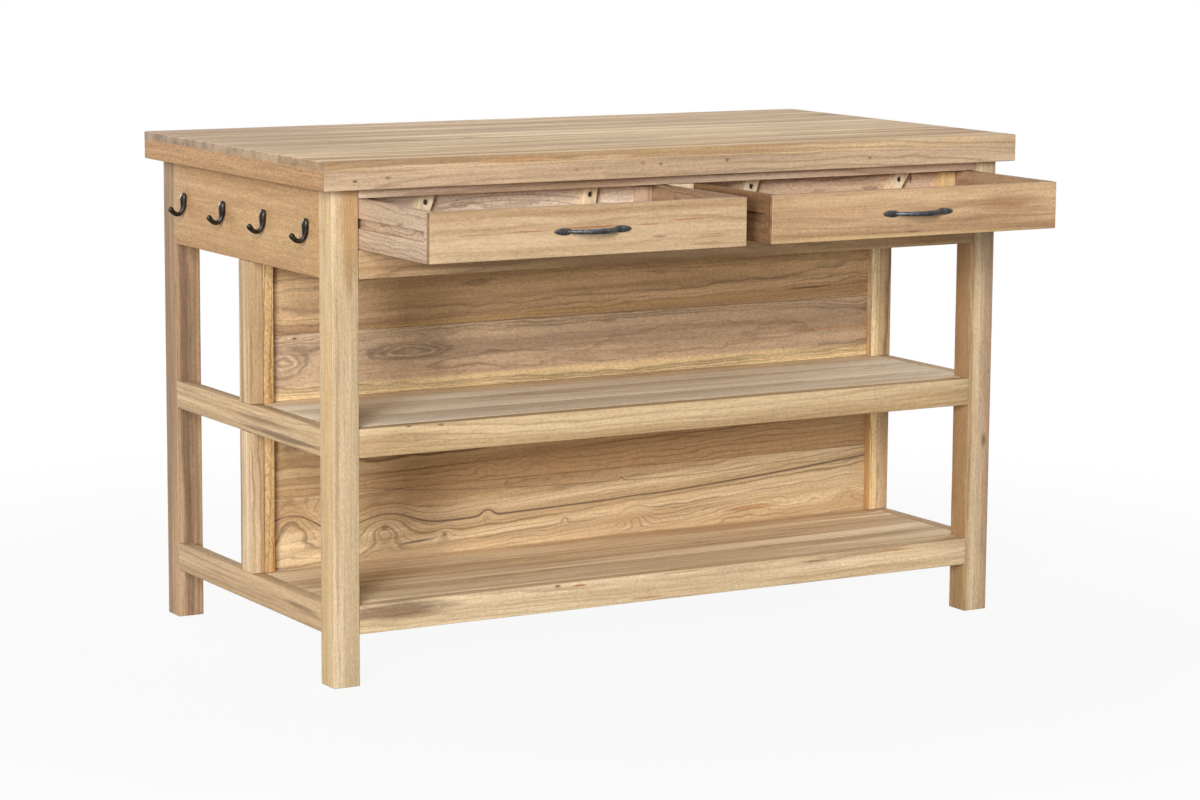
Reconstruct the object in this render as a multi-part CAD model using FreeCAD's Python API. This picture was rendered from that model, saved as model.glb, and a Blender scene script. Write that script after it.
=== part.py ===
import FreeCAD
import Part
import math
import os

V = FreeCAD.Vector

# Overall size of the island, in millimetres. X runs along its length, the drawers face -Y,
# and the origin is on the floor under the middle of the worktop.
TOP_LENGTH = 1420.0
TOP_DEPTH = 756.0
HEIGHT = 900.0

# Worktop: planks glued on a mitred frame of thicker strips
PLANK_THICK = 15.0
STRIP_HIGH = 35.0
STRIP_WIDE = 50.0
OVERHANG_ENDS = 26.0
OVERHANG_SIDES = 24.0
TOP_SEAMS = (-200.0, -46.0, 74.0, 226.0)
TOP_ROUND = 2.5
RIM_ROUND = 2.2
SEAM_GAP = 0.4
SEAM_CHAMFER = 0.8
BATTEN_WIDE = 50.0
OVERCUT = 1.0

# Frame timber
LEG = 50.0
RAIL_THICK = 26.0
RAIL_HIGH = 50.0
FOOT = 90.0
BAY = 254.0
POST_WIDE = 48.0
TOP_RAIL_HIGH = 16.0
MUNTIN_WIDE = 50.0
BEARER_HIGH = 50.0
EASE = 1.2
FOOT_CHAMFER = 2.0

# Mortise and tenon joints
TENON_LONG = 24.0
TENON_THICK = 10.0
TENON_SHOULDER = 7.0
THIN_SHOULDER = 4.0
STUB_TENON = 8.0

# Panel down the middle, shelves in front of it
PANEL_THICK = 14.0
PANEL_SEAMS_LOW = (267.0,)
PANEL_SEAMS_HIGH = (562.0, 706.0)
CLEAT_WIDE = 19.5
FIT_GAP = 0.5
SHELF_THICK = 20.0
SHELF_SEAMS = (-228.0, -112.0)
LEDGER_WIDE = 20.0
LEDGER_HIGH = 24.0
SHELF_BEARER_DEEP = 26.0

# Drawers, drawn shut and then moved out to where they stand
DRAWER_GAP = 1.5
DRAWER_LIFT = 1.0
DRAWER_DEPTH = 318.0
DRAWER_FRONT = 20.0
DRAWER_SIDE = 16.0
DRAWER_EASE = 0.8
FRONT_LAP = 10.0
DADO = 5.0
BOTTOM_THICK = 6.0
BOTTOM_LIFT = 9.0
GROOVE_HIGH = 18.0
GROOVE_DEEP = 8.0
GROOVE_RAISE = 1.0
RUNNER_CLEAR = 1.5
RUNNER_TOP_CLEAR = 0.3
RUNNER_START = -330.0
RUNNER_END = -12.0
CORNER_WIDE = 30.0
CORNER_DEEP = 18.0
CORNER_DROP = 3.0
OPENED = {"left": 255.0, "right": 251.0}

# Turn buttons that stop a drawer behind the thin top rail
BUTTON_LONG = 64.0
BUTTON_WIDE = 26.0
BUTTON_THICK = 15.5
BUTTON_ROUND = 11.0
BUTTON_DROP = 13.4
BUTTON_SPREAD = 323.0
BUTTON_CLEAR = 0.3
BUTTON_TILT = {"left": (20.0, 8.0), "right": (20.0, 32.0)}
PIVOT_RADIUS = 2.5
PIVOT_CLEAR = 0.08
PIVOT_HEAD_RADIUS = 4.4
PIVOT_HEAD_THICK = 3.0
PIVOT_CROWN = 1.8
SLOT_WIDE = 1.2
SLOT_DEEP = 1.0
COUNTERBORE_RADIUS = 5.5
COUNTERBORE_DEEP = 6.0
SCREW_BITE = 12.0

# Iron bow pulls with leaf ends
PULL_REACH = 23.0
BOW_HALF = 48.0
BOW_FOOT = 2.2
BOW_STATIONS = 4
BOW_PEAK = 0.3
BOW_HALF_HIGH = (2.9, 5.1)
BOW_HALF_THICK = (2.3, 3.9)
LEAF_NECK = 43.0
LEAF_WIDEST = 54.0
LEAF_TIP = 74.0
LEAF_BULGE = 66.0
LEAF_SHOULDER_SHARE = 0.9
LEAF_BULGE_SHARE = 0.74
LEAF_HALF_NECK = 3.6
LEAF_HALF_WIDE = 5.8
LEAF_THICK = 3.0
LEAF_EASE = 1.0
LEAF_SCREW = 60.0
SMALL_SCREW_RADIUS = 1.5
SMALL_HEAD_RADIUS = 3.0
SMALL_HEAD_HIGH = 1.4

# Iron coat hooks on the left end. A stem station is a drop from the top, a half width and a thickness;
# a rod station is a distance from the apron, a height above the floor and a radius.
HOOK_SPACING = 171.0
HOOK_ROW_SHIFT = -4.0
HOOK_TOP = 795.5
HOOK_STEM = ((0.0, 4.2, 4.6), (1.6, 6.8, 7.6), (8.0, 8.0, 9.8), (17.0, 7.2, 9.4), (26.0, 5.8, 8.8))
HOOK_ROD = ((6.4, 763.6, 4.5), (10.4, 758.4, 4.1), (15.6, 756.3, 3.9),
            (21.2, 758.0, 3.9), (26.2, 762.4, 4.2))
HOOK_TIP = (29.8, 767.4)
HOOK_BALL = 4.9
HOOK_STEM_FLAT = 0.9
HOOK_SEAT = 8.8
HOOK_SCREW_DROP = 11.0
HOOK_SCREW_BITE = 14.0

# Planes that the pieces share
X_OUT = TOP_LENGTH / 2 - OVERHANG_ENDS
X_LEG = X_OUT - LEG
X_RAIL = X_OUT - RAIL_THICK
Y_FRONT = OVERHANG_SIDES - TOP_DEPTH / 2
Y_RAIL = Y_FRONT + RAIL_THICK
Y_LEG = Y_FRONT + LEG
Y_PANEL = -PANEL_THICK / 2
Z_PLANKS = HEIGHT - PLANK_THICK
Z_FRAME = Z_PLANKS - STRIP_HIGH
Z_LOW = FOOT
Z_LOW_TOP = Z_LOW + RAIL_HIGH
Z_MID = Z_LOW_TOP + BAY
Z_MID_TOP = Z_MID + RAIL_HIGH
Z_APRON = Z_MID_TOP + BAY
Z_OPENING = Z_APRON + RAIL_HIGH
Z_TOP_RAIL = Z_FRAME - TOP_RAIL_HIGH
Z_DRAWER = Z_OPENING + DRAWER_LIFT
Z_DRAWER_TOP = Z_TOP_RAIL - DRAWER_LIFT
Z_GROOVE = (Z_DRAWER + Z_DRAWER_TOP - GROOVE_HIGH) / 2 + GROOVE_RAISE

AXES = {"x": V(1, 0, 0), "y": V(0, 1, 0), "z": V(0, 0, 1)}
LOOP_POINTS = 12
TOUCH = 0.01
nodes = {}


def block(x, y, z):
    """A box between the two limits given on each axis."""
    return Part.makeBox(x[1] - x[0], y[1] - y[0], z[1] - z[0], V(x[0], y[0], z[0]))


def edges_along(shape, axis):
    """Straight edges that run along one axis."""
    found = []
    for edge in shape.Edges:
        run = edge.Vertexes[-1].Point.sub(edge.Vertexes[0].Point)
        if run.Length > 0 and abs(run.normalize().dot(AXES[axis])) > 0.999:
            found.append(edge)
    return found


def board(x, y, z, grain, ease=EASE):
    """A sawn board whose four long edges are eased."""
    plain = block(x, y, z)
    return plain.makeFillet(ease, edges_along(plain, grain))


def mirrored(shape):
    """The same piece for the other end of the island."""
    return shape.mirror(V(0, 0, 0), V(1, 0, 0))


def joined(*shapes):
    """Several overlapping shapes as one solid."""
    whole = shapes[0].fuse(list(shapes[1:])).removeSplitter()
    return whole.Solids[0] if len(whole.Solids) == 1 else whole


def let_in(host, *guests):
    """The host piece with a mortise, groove or hole wherever a guest enters it."""
    cut = host.cut(list(guests))
    return cut.Solids[0] if len(cut.Solids) == 1 else cut


def centred(middle, size):
    """Two limits either side of a middle."""
    return (middle - size / 2, middle + size / 2)


def inset(limits, amount):
    """Two limits drawn in by the same amount."""
    return (limits[0] + amount, limits[1] - amount)


def grown(limits, amount):
    """Two limits moved apart by the same amount."""
    return inset(limits, -amount)


def spans(limits, seams, gap):
    """The stretches between seams, each seam a narrow gap."""
    marks = [limits[0], *seams, limits[1]]
    last = len(marks) - 2
    stretches = []
    for i in range(len(marks) - 1):
        low = marks[i] + (gap / 2 if i > 0 else 0.0)
        high = marks[i + 1] - (gap / 2 if i < last else 0.0)
        stretches.append((low, high))
    return stretches


def worktop():
    """Planks along the length over four mitred strips, and one cross batten."""
    x = centred(0, TOP_LENGTH)
    y = centred(0, TOP_DEPTH)
    slab = block(x, y, (Z_PLANKS, HEIGHT))
    slab = slab.makeFillet(TOP_ROUND, edges_along(slab, "z"))
    rim = [e for e in slab.Edges if min(v.Z for v in e.Vertexes) > HEIGHT - TOUCH]
    slab = slab.makeFillet(RIM_ROUND, rim)
    for i, stretch in enumerate(spans(y, TOP_SEAMS, SEAM_GAP), 1):
        strip = block(grown(x, OVERCUT), stretch, (Z_PLANKS, HEIGHT))
        upper = [e for e in edges_along(strip, "x") if e.Vertexes[0].Z > HEIGHT - TOUCH]
        at_seam = [e for e in upper if abs(e.Vertexes[0].Y) < TOP_DEPTH / 2 - TOUCH]
        plank = slab.common(strip.makeChamfer(SEAM_CHAMFER, at_seam))
        nodes[f"top_plank_{i}"] = plank.Solids[0]

    z = (Z_FRAME, Z_PLANKS)
    frame = block(x, y, z)
    frame = frame.makeFillet(TOP_ROUND, edges_along(frame, "z"))
    rim = [e for e in frame.Edges if max(v.Z for v in e.Vertexes) < Z_FRAME + TOUCH]
    frame = frame.makeFillet(RIM_ROUND, rim)
    frame = frame.cut(block(inset(x, STRIP_WIDE), inset(y, STRIP_WIDE), z))
    reach = TOP_DEPTH / 2 + OVERCUT
    half = TOP_LENGTH / 2 + OVERCUT
    inner = half - reach
    outlines = {"front": [(-half, -reach), (half, -reach), (inner, 0), (-inner, 0)],
                "rear": [(-half, reach), (half, reach), (inner, 0), (-inner, 0)],
                "left": [(-half, -reach), (-half, reach), (-inner, 0)],
                "right": [(half, -reach), (half, reach), (inner, 0)]}
    for side, outline in outlines.items():
        corners = [V(px, py, Z_FRAME) for px, py in outline]
        wedge = Part.Face(Part.makePolygon(corners + corners[:1])).extrude(V(0, 0, STRIP_HIGH))
        nodes[f"top_edge_{side}"] = frame.common(wedge).Solids[0]
    nodes["top_batten"] = board(centred(0, BATTEN_WIDE), inset(y, STRIP_WIDE), z, "y")


def rail_along_x(y, z, tenon_z):
    """A rail between two legs, with a tenon on each end."""
    rail = board((-X_LEG, X_LEG), y, z, "x")
    tongue = block((-X_LEG - TENON_LONG, X_LEG + TENON_LONG), centred(sum(y) / 2, TENON_THICK), tenon_z)
    return joined(rail, tongue)


def rail_along_y(z):
    """A rail at the left end, flush with the outer faces of the legs it is tenoned into."""
    x = (-X_OUT, -X_RAIL)
    rail = board(x, (Y_LEG, -Y_LEG), z, "y")
    tongue = block(centred(sum(x) / 2, TENON_THICK), (Y_LEG - TENON_LONG, TENON_LONG - Y_LEG),
                   inset(z, TENON_SHOULDER))
    return joined(rail, tongue)


def post(z):
    """A short post in the middle of the left end, stub tenoned into the rails above and below."""
    x = (-X_OUT, -X_RAIL)
    y = centred(0, POST_WIDE)
    stub = block(centred(sum(x) / 2, TENON_THICK), inset(y, TENON_SHOULDER), grown(z, STUB_TENON))
    return joined(board(x, y, z, "z"), stub)


def plain_leg(y):
    """A left leg before its mortises are cut, chamfered round the foot."""
    leg = block((-X_OUT, -X_LEG), y, (0, Z_FRAME))
    sole = [e for e in leg.Edges if max(v.Z for v in e.Vertexes) < TOUCH]
    leg = leg.makeChamfer(FOOT_CHAMFER, sole)
    return leg.makeFillet(EASE, edges_along(leg, "z"))


def frame():
    """Legs, rails, aprons and posts."""
    front = (Y_FRONT, Y_RAIL)
    z_low = (Z_LOW, Z_LOW_TOP)
    z_mid = (Z_MID, Z_MID_TOP)
    z_apron = (Z_APRON, Z_FRAME)
    z_opening = (Z_APRON, Z_OPENING)
    z_top = (Z_TOP_RAIL, Z_FRAME)
    across = {"shelf_rail_low": rail_along_x(front, z_low, inset(z_low, TENON_SHOULDER)),
              "shelf_rail_mid": rail_along_x(front, z_mid, inset(z_mid, TENON_SHOULDER)),
              "front_lower_rail": rail_along_x(front, z_opening, inset(z_opening, TENON_SHOULDER)),
              "front_top_rail": rail_along_x(front, z_top, inset(z_top, THIN_SHOULDER)),
              "apron_rear": rail_along_x((-Y_RAIL, -Y_FRONT), z_apron, inset(z_apron, TENON_SHOULDER))}

    x_muntin = centred(0, MUNTIN_WIDE)
    z_muntin = (Z_OPENING, Z_TOP_RAIL)
    stub = block(inset(x_muntin, TENON_SHOULDER), centred(sum(front) / 2, TENON_THICK),
                 grown(z_muntin, STUB_TENON))
    nodes["drawer_muntin"] = joined(board(x_muntin, front, z_muntin, "z"), stub)
    for name in ("front_lower_rail", "front_top_rail"):
        across[name] = let_in(across[name], nodes["drawer_muntin"])
    z_bearer = centred(sum(z_muntin) / 2, BEARER_HIGH)
    nodes["centre_bearer"] = board(x_muntin, (Y_RAIL, Y_PANEL), z_bearer, "y")

    posts = [post((Z_LOW_TOP, Z_MID)), post((Z_MID_TOP, Z_APRON))]
    along = {"side_rail_low": let_in(rail_along_y(z_low), posts[0]),
             "side_rail_mid": let_in(rail_along_y(z_mid), *posts),
             "apron": let_in(rail_along_y(z_apron), posts[1])}

    nodes["posts"] = Part.makeCompound(posts + [mirrored(p) for p in posts])
    for name, rail in along.items():
        nodes[f"{name}_left"] = rail
        nodes[f"{name}_right"] = mirrored(rail)
    for row, y in (("front", (Y_FRONT, Y_LEG)), ("rear", (-Y_LEG, -Y_FRONT))):
        leg = let_in(plain_leg(y), *along.values(), *across.values())
        nodes[f"leg_{row}_left"] = leg
        nodes[f"leg_{row}_right"] = mirrored(leg)
    nodes.update(across)


def panel_and_shelves():
    """Panel planks between the posts, cleats that hold them, and two shelves of planks on bearers."""
    x = (FIT_GAP - X_RAIL, X_RAIL - FIT_GAP)
    y = centred(0, PANEL_THICK)
    for name, z, seams in (("panel_lower", (Z_LOW, Z_MID_TOP), PANEL_SEAMS_LOW),
                           ("panel_upper", (Z_MID_TOP, Z_FRAME), PANEL_SEAMS_HIGH)):
        planks = [board(x, y, stretch, "x", SEAM_CHAMFER) for stretch in spans(z, seams, SEAM_GAP)]
        nodes[name] = Part.makeCompound(planks)

    cleats = []
    for z in ((Z_LOW_TOP, Z_MID), (Z_MID_TOP, Z_APRON)):
        cleat = board((-X_RAIL, CLEAT_WIDE - X_RAIL), (-POST_WIDE / 2, Y_PANEL), z, "z")
        cleats += [cleat, mirrored(cleat)]
    nodes["panel_cleats"] = Part.makeCompound(cleats)

    supports = []
    for name, top in (("low", Z_LOW_TOP), ("mid", Z_MID_TOP)):
        z = (top - SHELF_THICK, top)
        corner = block((-X_OUT, -X_LEG + FIT_GAP), (Y_FRONT, Y_LEG + FIT_GAP), z)
        planks = []
        for stretch in spans((Y_RAIL, Y_PANEL), SHELF_SEAMS, SEAM_GAP):
            plank = board(x, stretch, z, "x", SEAM_CHAMFER)
            planks.append(let_in(plank, corner, mirrored(corner)))
        nodes[f"shelf_planks_{name}"] = Part.makeCompound(planks)
        y_bearer = (Y_PANEL - SHELF_BEARER_DEEP, Y_PANEL)
        supports.append(board(x, y_bearer, (top - RAIL_HIGH, z[0]), "x"))
        z_ledger = (z[0] - LEDGER_HIGH, z[0])
        ledger = board((-X_RAIL, LEDGER_WIDE - X_RAIL), (Y_LEG, y_bearer[0]), z_ledger, "y")
        supports += [ledger, mirrored(ledger)]
    nodes["shelf_bearers"] = Part.makeCompound(supports)


def drawer_spans():
    """The width that each drawer fills, between leg and muntin."""
    outer = X_LEG - DRAWER_GAP
    inner = MUNTIN_WIDE / 2 + DRAWER_GAP
    return {"left": (-outer, -inner), "right": (inner, outer)}


def runners():
    """Strips that enter the grooves in the drawer sides, the outer ones notched round the front legs."""
    z = (Z_GROOVE + RUNNER_CLEAR, Z_GROOVE + GROOVE_HIGH - RUNNER_TOP_CLEAR)
    reach = X_LEG - DRAWER_GAP - GROOVE_DEEP + RUNNER_CLEAR
    outer = joined(block((-X_RAIL, -reach), (Y_LEG, RUNNER_END), z),
                   block((-X_LEG, -reach), (RUNNER_START, Y_LEG), z))
    middle = MUNTIN_WIDE / 2
    inner = block((-middle - DRAWER_GAP - GROOVE_DEEP + RUNNER_CLEAR, -middle), (Y_RAIL, RUNNER_END), z)
    nodes["drawer_runners"] = Part.makeCompound([outer, inner, mirrored(inner), mirrored(outer)])


def turn_button(pivot):
    """An upright wooden stop with rounded ends and a recess for its screw. Its back is at the pivot's y."""
    x = centred(pivot.x, BUTTON_WIDE)
    y = (pivot.y - BUTTON_THICK, pivot.y)
    body = block(x, y, centred(pivot.z, BUTTON_LONG))
    body = body.makeFillet(BUTTON_ROUND, edges_along(body, "y"))
    face = [e for e in body.Edges if max(v.Y for v in e.Vertexes) < y[0] + TOUCH]
    body = body.makeFillet(EASE, face)
    mouth = V(pivot.x, y[0], pivot.z)
    hole = Part.makeCylinder(PIVOT_RADIUS + PIVOT_CLEAR, BUTTON_THICK, mouth, V(0, 1, 0))
    recess = Part.makeCylinder(COUNTERBORE_RADIUS, COUNTERBORE_DEEP, mouth, V(0, 1, 0))
    return let_in(body, hole, recess)


def pivot_screw(pivot):
    """The round-headed screw that a turn button swings on, driven into the drawer back."""
    floor = pivot.y - BUTTON_THICK + COUNTERBORE_DEEP - BUTTON_CLEAR
    crown = floor - PIVOT_HEAD_THICK
    inward = V(0, 1, 0)
    head = Part.makeCylinder(PIVOT_HEAD_RADIUS, PIVOT_HEAD_THICK, V(pivot.x, crown, pivot.z), inward)
    rim = [e for e in head.Edges if max(v.Y for v in e.Vertexes) < crown + TOUCH]
    head = head.makeFillet(PIVOT_CROWN, rim)
    slot_x = centred(pivot.x, 2 * PIVOT_HEAD_RADIUS)
    slot = block(slot_x, (crown, crown + SLOT_DEEP), centred(pivot.z, SLOT_WIDE))
    grip = BUTTON_THICK - COUNTERBORE_DEEP + 2 * BUTTON_CLEAR + SCREW_BITE
    shank = Part.makeCylinder(PIVOT_RADIUS, grip, V(pivot.x, floor, pivot.z), inward)
    return joined(head.cut(slot), shank)


def step(point, way, amount):
    """The point that lies an amount further along a direction."""
    return point.add(V(way).multiply(amount))


def small_screw(seat, inward, bite):
    """A dome-headed screw, its head standing on the seat and its shank running inward."""
    ball = (SMALL_HEAD_RADIUS ** 2 + SMALL_HEAD_HIGH ** 2) / (2 * SMALL_HEAD_HIGH)
    dome = Part.makeSphere(ball, step(seat, inward, ball - SMALL_HEAD_HIGH))
    cap = Part.makeCylinder(SMALL_HEAD_RADIUS * 1.5, SMALL_HEAD_HIGH * 2, seat, V(inward).multiply(-1))
    shank = Part.makeCylinder(SMALL_SCREW_RADIUS, bite, seat, inward)
    return joined(dome.common(cap), shank)


def loop_of(middle, wide_way, thick_way, half_wide, half_thick, flat=0.0):
    """A closed smooth outline about a middle. A flat above 0 flattens the side away from thick_way."""
    points = []
    for i in range(LOOP_POINTS):
        turn = 2 * math.pi * i / LOOP_POINTS
        rise = half_thick * math.sin(turn)
        if rise < 0:
            rise *= 1 - flat
        points.append(step(step(middle, wide_way, half_wide * math.cos(turn)), thick_way, rise))
    curve = Part.BSplineCurve()
    curve.interpolate(points, PeriodicFlag=True)
    return Part.Wire(curve.toShape())


def pull_leaf(middle, hand):
    """The leaf-shaped plate at one end of a pull."""
    def spot(along, up):
        return middle.add(V(hand * along, 0, up))

    shoulder = (LEAF_NECK + LEAF_WIDEST) / 2
    edges = [Part.LineSegment(spot(LEAF_NECK, -LEAF_HALF_NECK), spot(LEAF_NECK, LEAF_HALF_NECK))]
    for up in (1, -1):
        half = up * LEAF_HALF_WIDE
        neck = spot(LEAF_NECK, up * LEAF_HALF_NECK)
        widest = spot(LEAF_WIDEST, half)
        edges.append(Part.Arc(neck, spot(shoulder, half * LEAF_SHOULDER_SHARE), widest))
        edges.append(Part.Arc(widest, spot(LEAF_BULGE, half * LEAF_BULGE_SHARE), spot(LEAF_TIP, 0)))
    outline = Part.Wire(Part.__sortEdges__([e.toShape() for e in edges]))
    leaf = Part.Face(outline).extrude(V(0, -LEAF_THICK, 0))
    face = [e for e in leaf.Edges if max(v.Y for v in e.Vertexes) < middle.y - LEAF_THICK + TOUCH]
    return leaf.makeFillet(LEAF_EASE, face)


def pull(middle):
    """A bow handle, thickest a little right of the middle, between two leaf plates on the drawer front."""
    rise = PULL_REACH - BOW_FOOT
    radius = (BOW_HALF ** 2 + rise ** 2) / (2 * rise)
    hub = middle.add(V(0, radius - PULL_REACH, 0))
    swing = math.asin(BOW_HALF / radius)
    rings = []
    for i in range(-BOW_STATIONS, BOW_STATIONS + 1):
        share = i / BOW_STATIONS
        way = V(math.sin(share * swing), -math.cos(share * swing), 0)
        off_peak = share - BOW_PEAK
        swell = 1 - (off_peak / (1 - math.copysign(BOW_PEAK, off_peak))) ** 2
        high, thick = (thin + (full - thin) * swell for thin, full in (BOW_HALF_HIGH, BOW_HALF_THICK))
        rings.append(loop_of(step(hub, way, radius), V(0, 0, 1), way, high, thick))
    bow = Part.makeLoft(rings, True, False)
    leaves = [pull_leaf(middle, hand) for hand in (-1, 1)]
    screws = []
    for hand in (-1, 1):
        seat = middle.add(V(hand * LEAF_SCREW, -LEAF_THICK, 0))
        screws.append(small_screw(seat, V(0, 1, 0), LEAF_THICK + SCREW_BITE))
    return let_in(joined(bow, *leaves), *screws), screws


def drawer(side, x, opened):
    """One drawer with its stops, pull and screws, moved out to where it stands."""
    y = (Y_FRONT, Y_FRONT + DRAWER_DEPTH)
    z = (Z_DRAWER, Z_DRAWER_TOP)
    back_y = (y[1] - DRAWER_SIDE, y[1])
    inside = inset(x, DRAWER_SIDE)
    back = board(grown(inside, DADO), back_y, z, "x", DRAWER_EASE)
    z_bottom = (Z_DRAWER + BOTTOM_LIFT, Z_DRAWER + BOTTOM_LIFT + BOTTOM_THICK)
    bottom = block(grown(inside, DADO), (y[0] + DRAWER_FRONT - DADO, back_y[0] + DADO), z_bottom)
    groove_z = (Z_GROOVE, Z_GROOVE + GROOVE_HIGH)
    cheeks = {}
    for hand, limits, floor in (("left", (x[0], inside[0]), (x[0] - OVERCUT, x[0] + GROOVE_DEEP)),
                                ("right", (inside[1], x[1]), (x[1] - GROOVE_DEEP, x[1] + OVERCUT))):
        cheek = board(limits, (y[0] + FRONT_LAP, y[1]), z, "y", DRAWER_EASE)
        groove = block(floor, (y[0] + DRAWER_FRONT, y[1] + OVERCUT), groove_z)
        cheeks[hand] = let_in(cheek, groove, back, bottom)
    front = block(x, (y[0], y[0] + DRAWER_FRONT), z)
    rim = [e for e in front.Edges if max(v.Y for v in e.Vertexes) < y[0] + TOUCH]
    rabbet = (y[0] + FRONT_LAP, y[0] + DRAWER_FRONT)
    rabbets = [block((x[0], inside[0]), rabbet, z), block((inside[1], x[1]), rabbet, z)]
    front = let_in(front.makeFillet(EASE, rim), *rabbets, bottom)

    z_corner = (z_bottom[1], Z_DRAWER_TOP - CORNER_DROP)
    y_corner = (back_y[0] - CORNER_DEEP, back_y[0])
    corners = [board((inside[0], inside[0] + CORNER_WIDE), y_corner, z_corner, "z"),
               board((inside[1] - CORNER_WIDE, inside[1]), y_corner, z_corner, "z")]

    handle, pull_screws = pull(V(sum(x) / 2, y[0], sum(z) / 2))
    front = let_in(front, *pull_screws)
    pieces = {"front": front, "side_left": cheeks["left"], "side_right": cheeks["right"], "bottom": bottom,
              "corner_blocks": Part.makeCompound(corners), "pull": handle}

    pivot_screws = []
    for hand, offset, tilt in (("left", -0.5, BUTTON_TILT[side][0]), ("right", 0.5, BUTTON_TILT[side][1])):
        pivot = V(sum(x) / 2 + offset * BUTTON_SPREAD, back_y[0] - BUTTON_CLEAR, Z_DRAWER_TOP - BUTTON_DROP)
        stop = turn_button(pivot)
        stop.rotate(pivot, V(0, 1, 0), tilt)
        pieces[f"stop_{hand}"] = stop
        pivot_screws.append(pivot_screw(pivot))
    pieces["back"] = let_in(back, bottom, *pivot_screws)
    pieces["screws"] = Part.makeCompound(pull_screws + pivot_screws)
    for name, piece in pieces.items():
        piece.translate(V(0, -opened, 0))
        nodes[f"drawer_{side}_{name}"] = piece


def coat_hook(y):
    """A forged J hook: a flat-backed stem that narrows into a rod, turns outward and ends in a ball."""
    out = V(-1, 0, 0)
    wide = V(0, 1, 0)
    rings = []
    for drop, half, thick in HOOK_STEM:
        rings.append(loop_of(V(-X_OUT, y, HOOK_TOP - drop), wide, out, half, thick, HOOK_STEM_FLAT))
    foot = HOOK_STEM[-1]
    path = [V(-X_OUT - foot[2] / 2, y, HOOK_TOP - foot[0])]
    path += [V(-X_OUT - reach, y, height) for reach, height, radius in HOOK_ROD]
    path.append(V(-X_OUT - HOOK_TIP[0], y, HOOK_TIP[1]))
    for i, station in enumerate(HOOK_ROD, 1):
        along = path[i + 1].sub(path[i - 1]).normalize()
        rings.append(loop_of(path[i], wide, V(along.z, 0, -along.x), station[2], station[2]))
    along = path[-1].sub(path[-2]).normalize()
    rings.append(loop_of(path[-1], wide, V(along.z, 0, -along.x), station[2], station[2]))
    hook = joined(Part.makeLoft(rings, True, False), Part.makeSphere(HOOK_BALL, path[-1]))
    behind = block((-X_OUT, -X_RAIL), centred(y, HOOK_SPACING / 2), (Z_APRON, Z_FRAME))
    seat = V(-X_OUT - HOOK_SEAT, y, HOOK_TOP - HOOK_SCREW_DROP)
    screw = small_screw(seat, V(1, 0, 0), HOOK_SEAT + HOOK_SCREW_BITE)
    return let_in(hook, behind, screw), screw


def coat_hooks():
    """Four hooks in a row on the left apron, each held by one screw."""
    screws = []
    for i in range(4):
        hook, screw = coat_hook(HOOK_ROW_SHIFT + (i - 1.5) * HOOK_SPACING)
        nodes[f"hook_{i + 1}"] = hook
        screws.append(screw)
    nodes["hook_screws"] = Part.makeCompound(screws)
    nodes["apron_left"] = let_in(nodes["apron_left"], *screws)


def main():
    worktop()
    frame()
    panel_and_shelves()
    runners()
    for side, x in drawer_spans().items():
        drawer(side, x, OPENED[side])
    coat_hooks()
    os.makedirs("parts", exist_ok=True)
    for name, shape in nodes.items():
        if not shape.isValid():
            print("not valid:", name)
        shape.exportStep(f"parts/{name}.step")
    print(len(nodes), "nodes")


main()
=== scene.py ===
import itertools
import math
from types import SimpleNamespace

import bmesh
import bpy
from mathutils import Euler, Matrix, Vector


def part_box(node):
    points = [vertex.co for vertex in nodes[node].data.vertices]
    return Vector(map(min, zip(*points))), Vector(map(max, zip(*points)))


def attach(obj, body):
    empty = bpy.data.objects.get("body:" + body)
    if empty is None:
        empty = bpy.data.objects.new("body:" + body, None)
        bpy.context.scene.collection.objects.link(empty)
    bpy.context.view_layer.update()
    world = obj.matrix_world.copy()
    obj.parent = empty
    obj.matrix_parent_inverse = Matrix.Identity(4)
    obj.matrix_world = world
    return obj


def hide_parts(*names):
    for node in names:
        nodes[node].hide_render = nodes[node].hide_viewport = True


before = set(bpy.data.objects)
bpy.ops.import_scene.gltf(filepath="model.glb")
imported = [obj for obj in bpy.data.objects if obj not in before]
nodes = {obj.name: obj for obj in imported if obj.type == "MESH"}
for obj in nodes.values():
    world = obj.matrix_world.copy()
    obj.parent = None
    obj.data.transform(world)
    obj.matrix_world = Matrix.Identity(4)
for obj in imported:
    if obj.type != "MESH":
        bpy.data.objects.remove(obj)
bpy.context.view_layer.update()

# Photograph's camera, worked out from the corners of the worktop, legs and shelves
IMAGE_WIDE = 1200
FOCAL_PIXELS = 3467.4
SENSOR_MM = 36.0
CAMERA_AT = (-3.1916, -5.5444, 1.3822)
CAMERA_YAW = 30.25
CAMERA_PITCH = 8.72
CAMERA_ROLL = 0.37

# Sizes are in millimetres, as in the frame's own drawing, and become metres as a mesh is made
MM = 0.001


def drawn(node):
    """A solid's limits along X, Y and Z in the frame."""
    return [tuple(round(value / MM, 2) for value in pair) for pair in zip(*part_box(node))]


# Faces of the timber, outward from the middle and alike on both sides, and heights above the floor
(LEG_IN_X, LEG_X), (LEG_IN_Y, LEG_Y), (FLOOR, LEG_TOP) = drawn("leg_rear_right")
BOARD_X = drawn("apron_right")[0][0]
BOARD_Y = drawn("apron_rear")[1][0]
APRON_LOW = drawn("apron_right")[2][0]
LOWER_RAIL_TOP = drawn("front_lower_rail")[2][1]
TOP_RAIL_LOW = drawn("front_top_rail")[2][0]
RAILS = {level: drawn(f"shelf_rail_{level}")[2] for level in ("low", "mid")}
POSTS = {"low": (RAILS["low"][1], RAILS["mid"][0]), "high": (RAILS["mid"][1], APRON_LOW)}
POST_Y = drawn("posts")[1][1]
TOP_X = drawn("top_plank_1")[0][1]
TOP_Y = drawn("top_plank_5")[1][1]
PLANK_LOW, TOP_Z = drawn("top_plank_1")[2]
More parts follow.
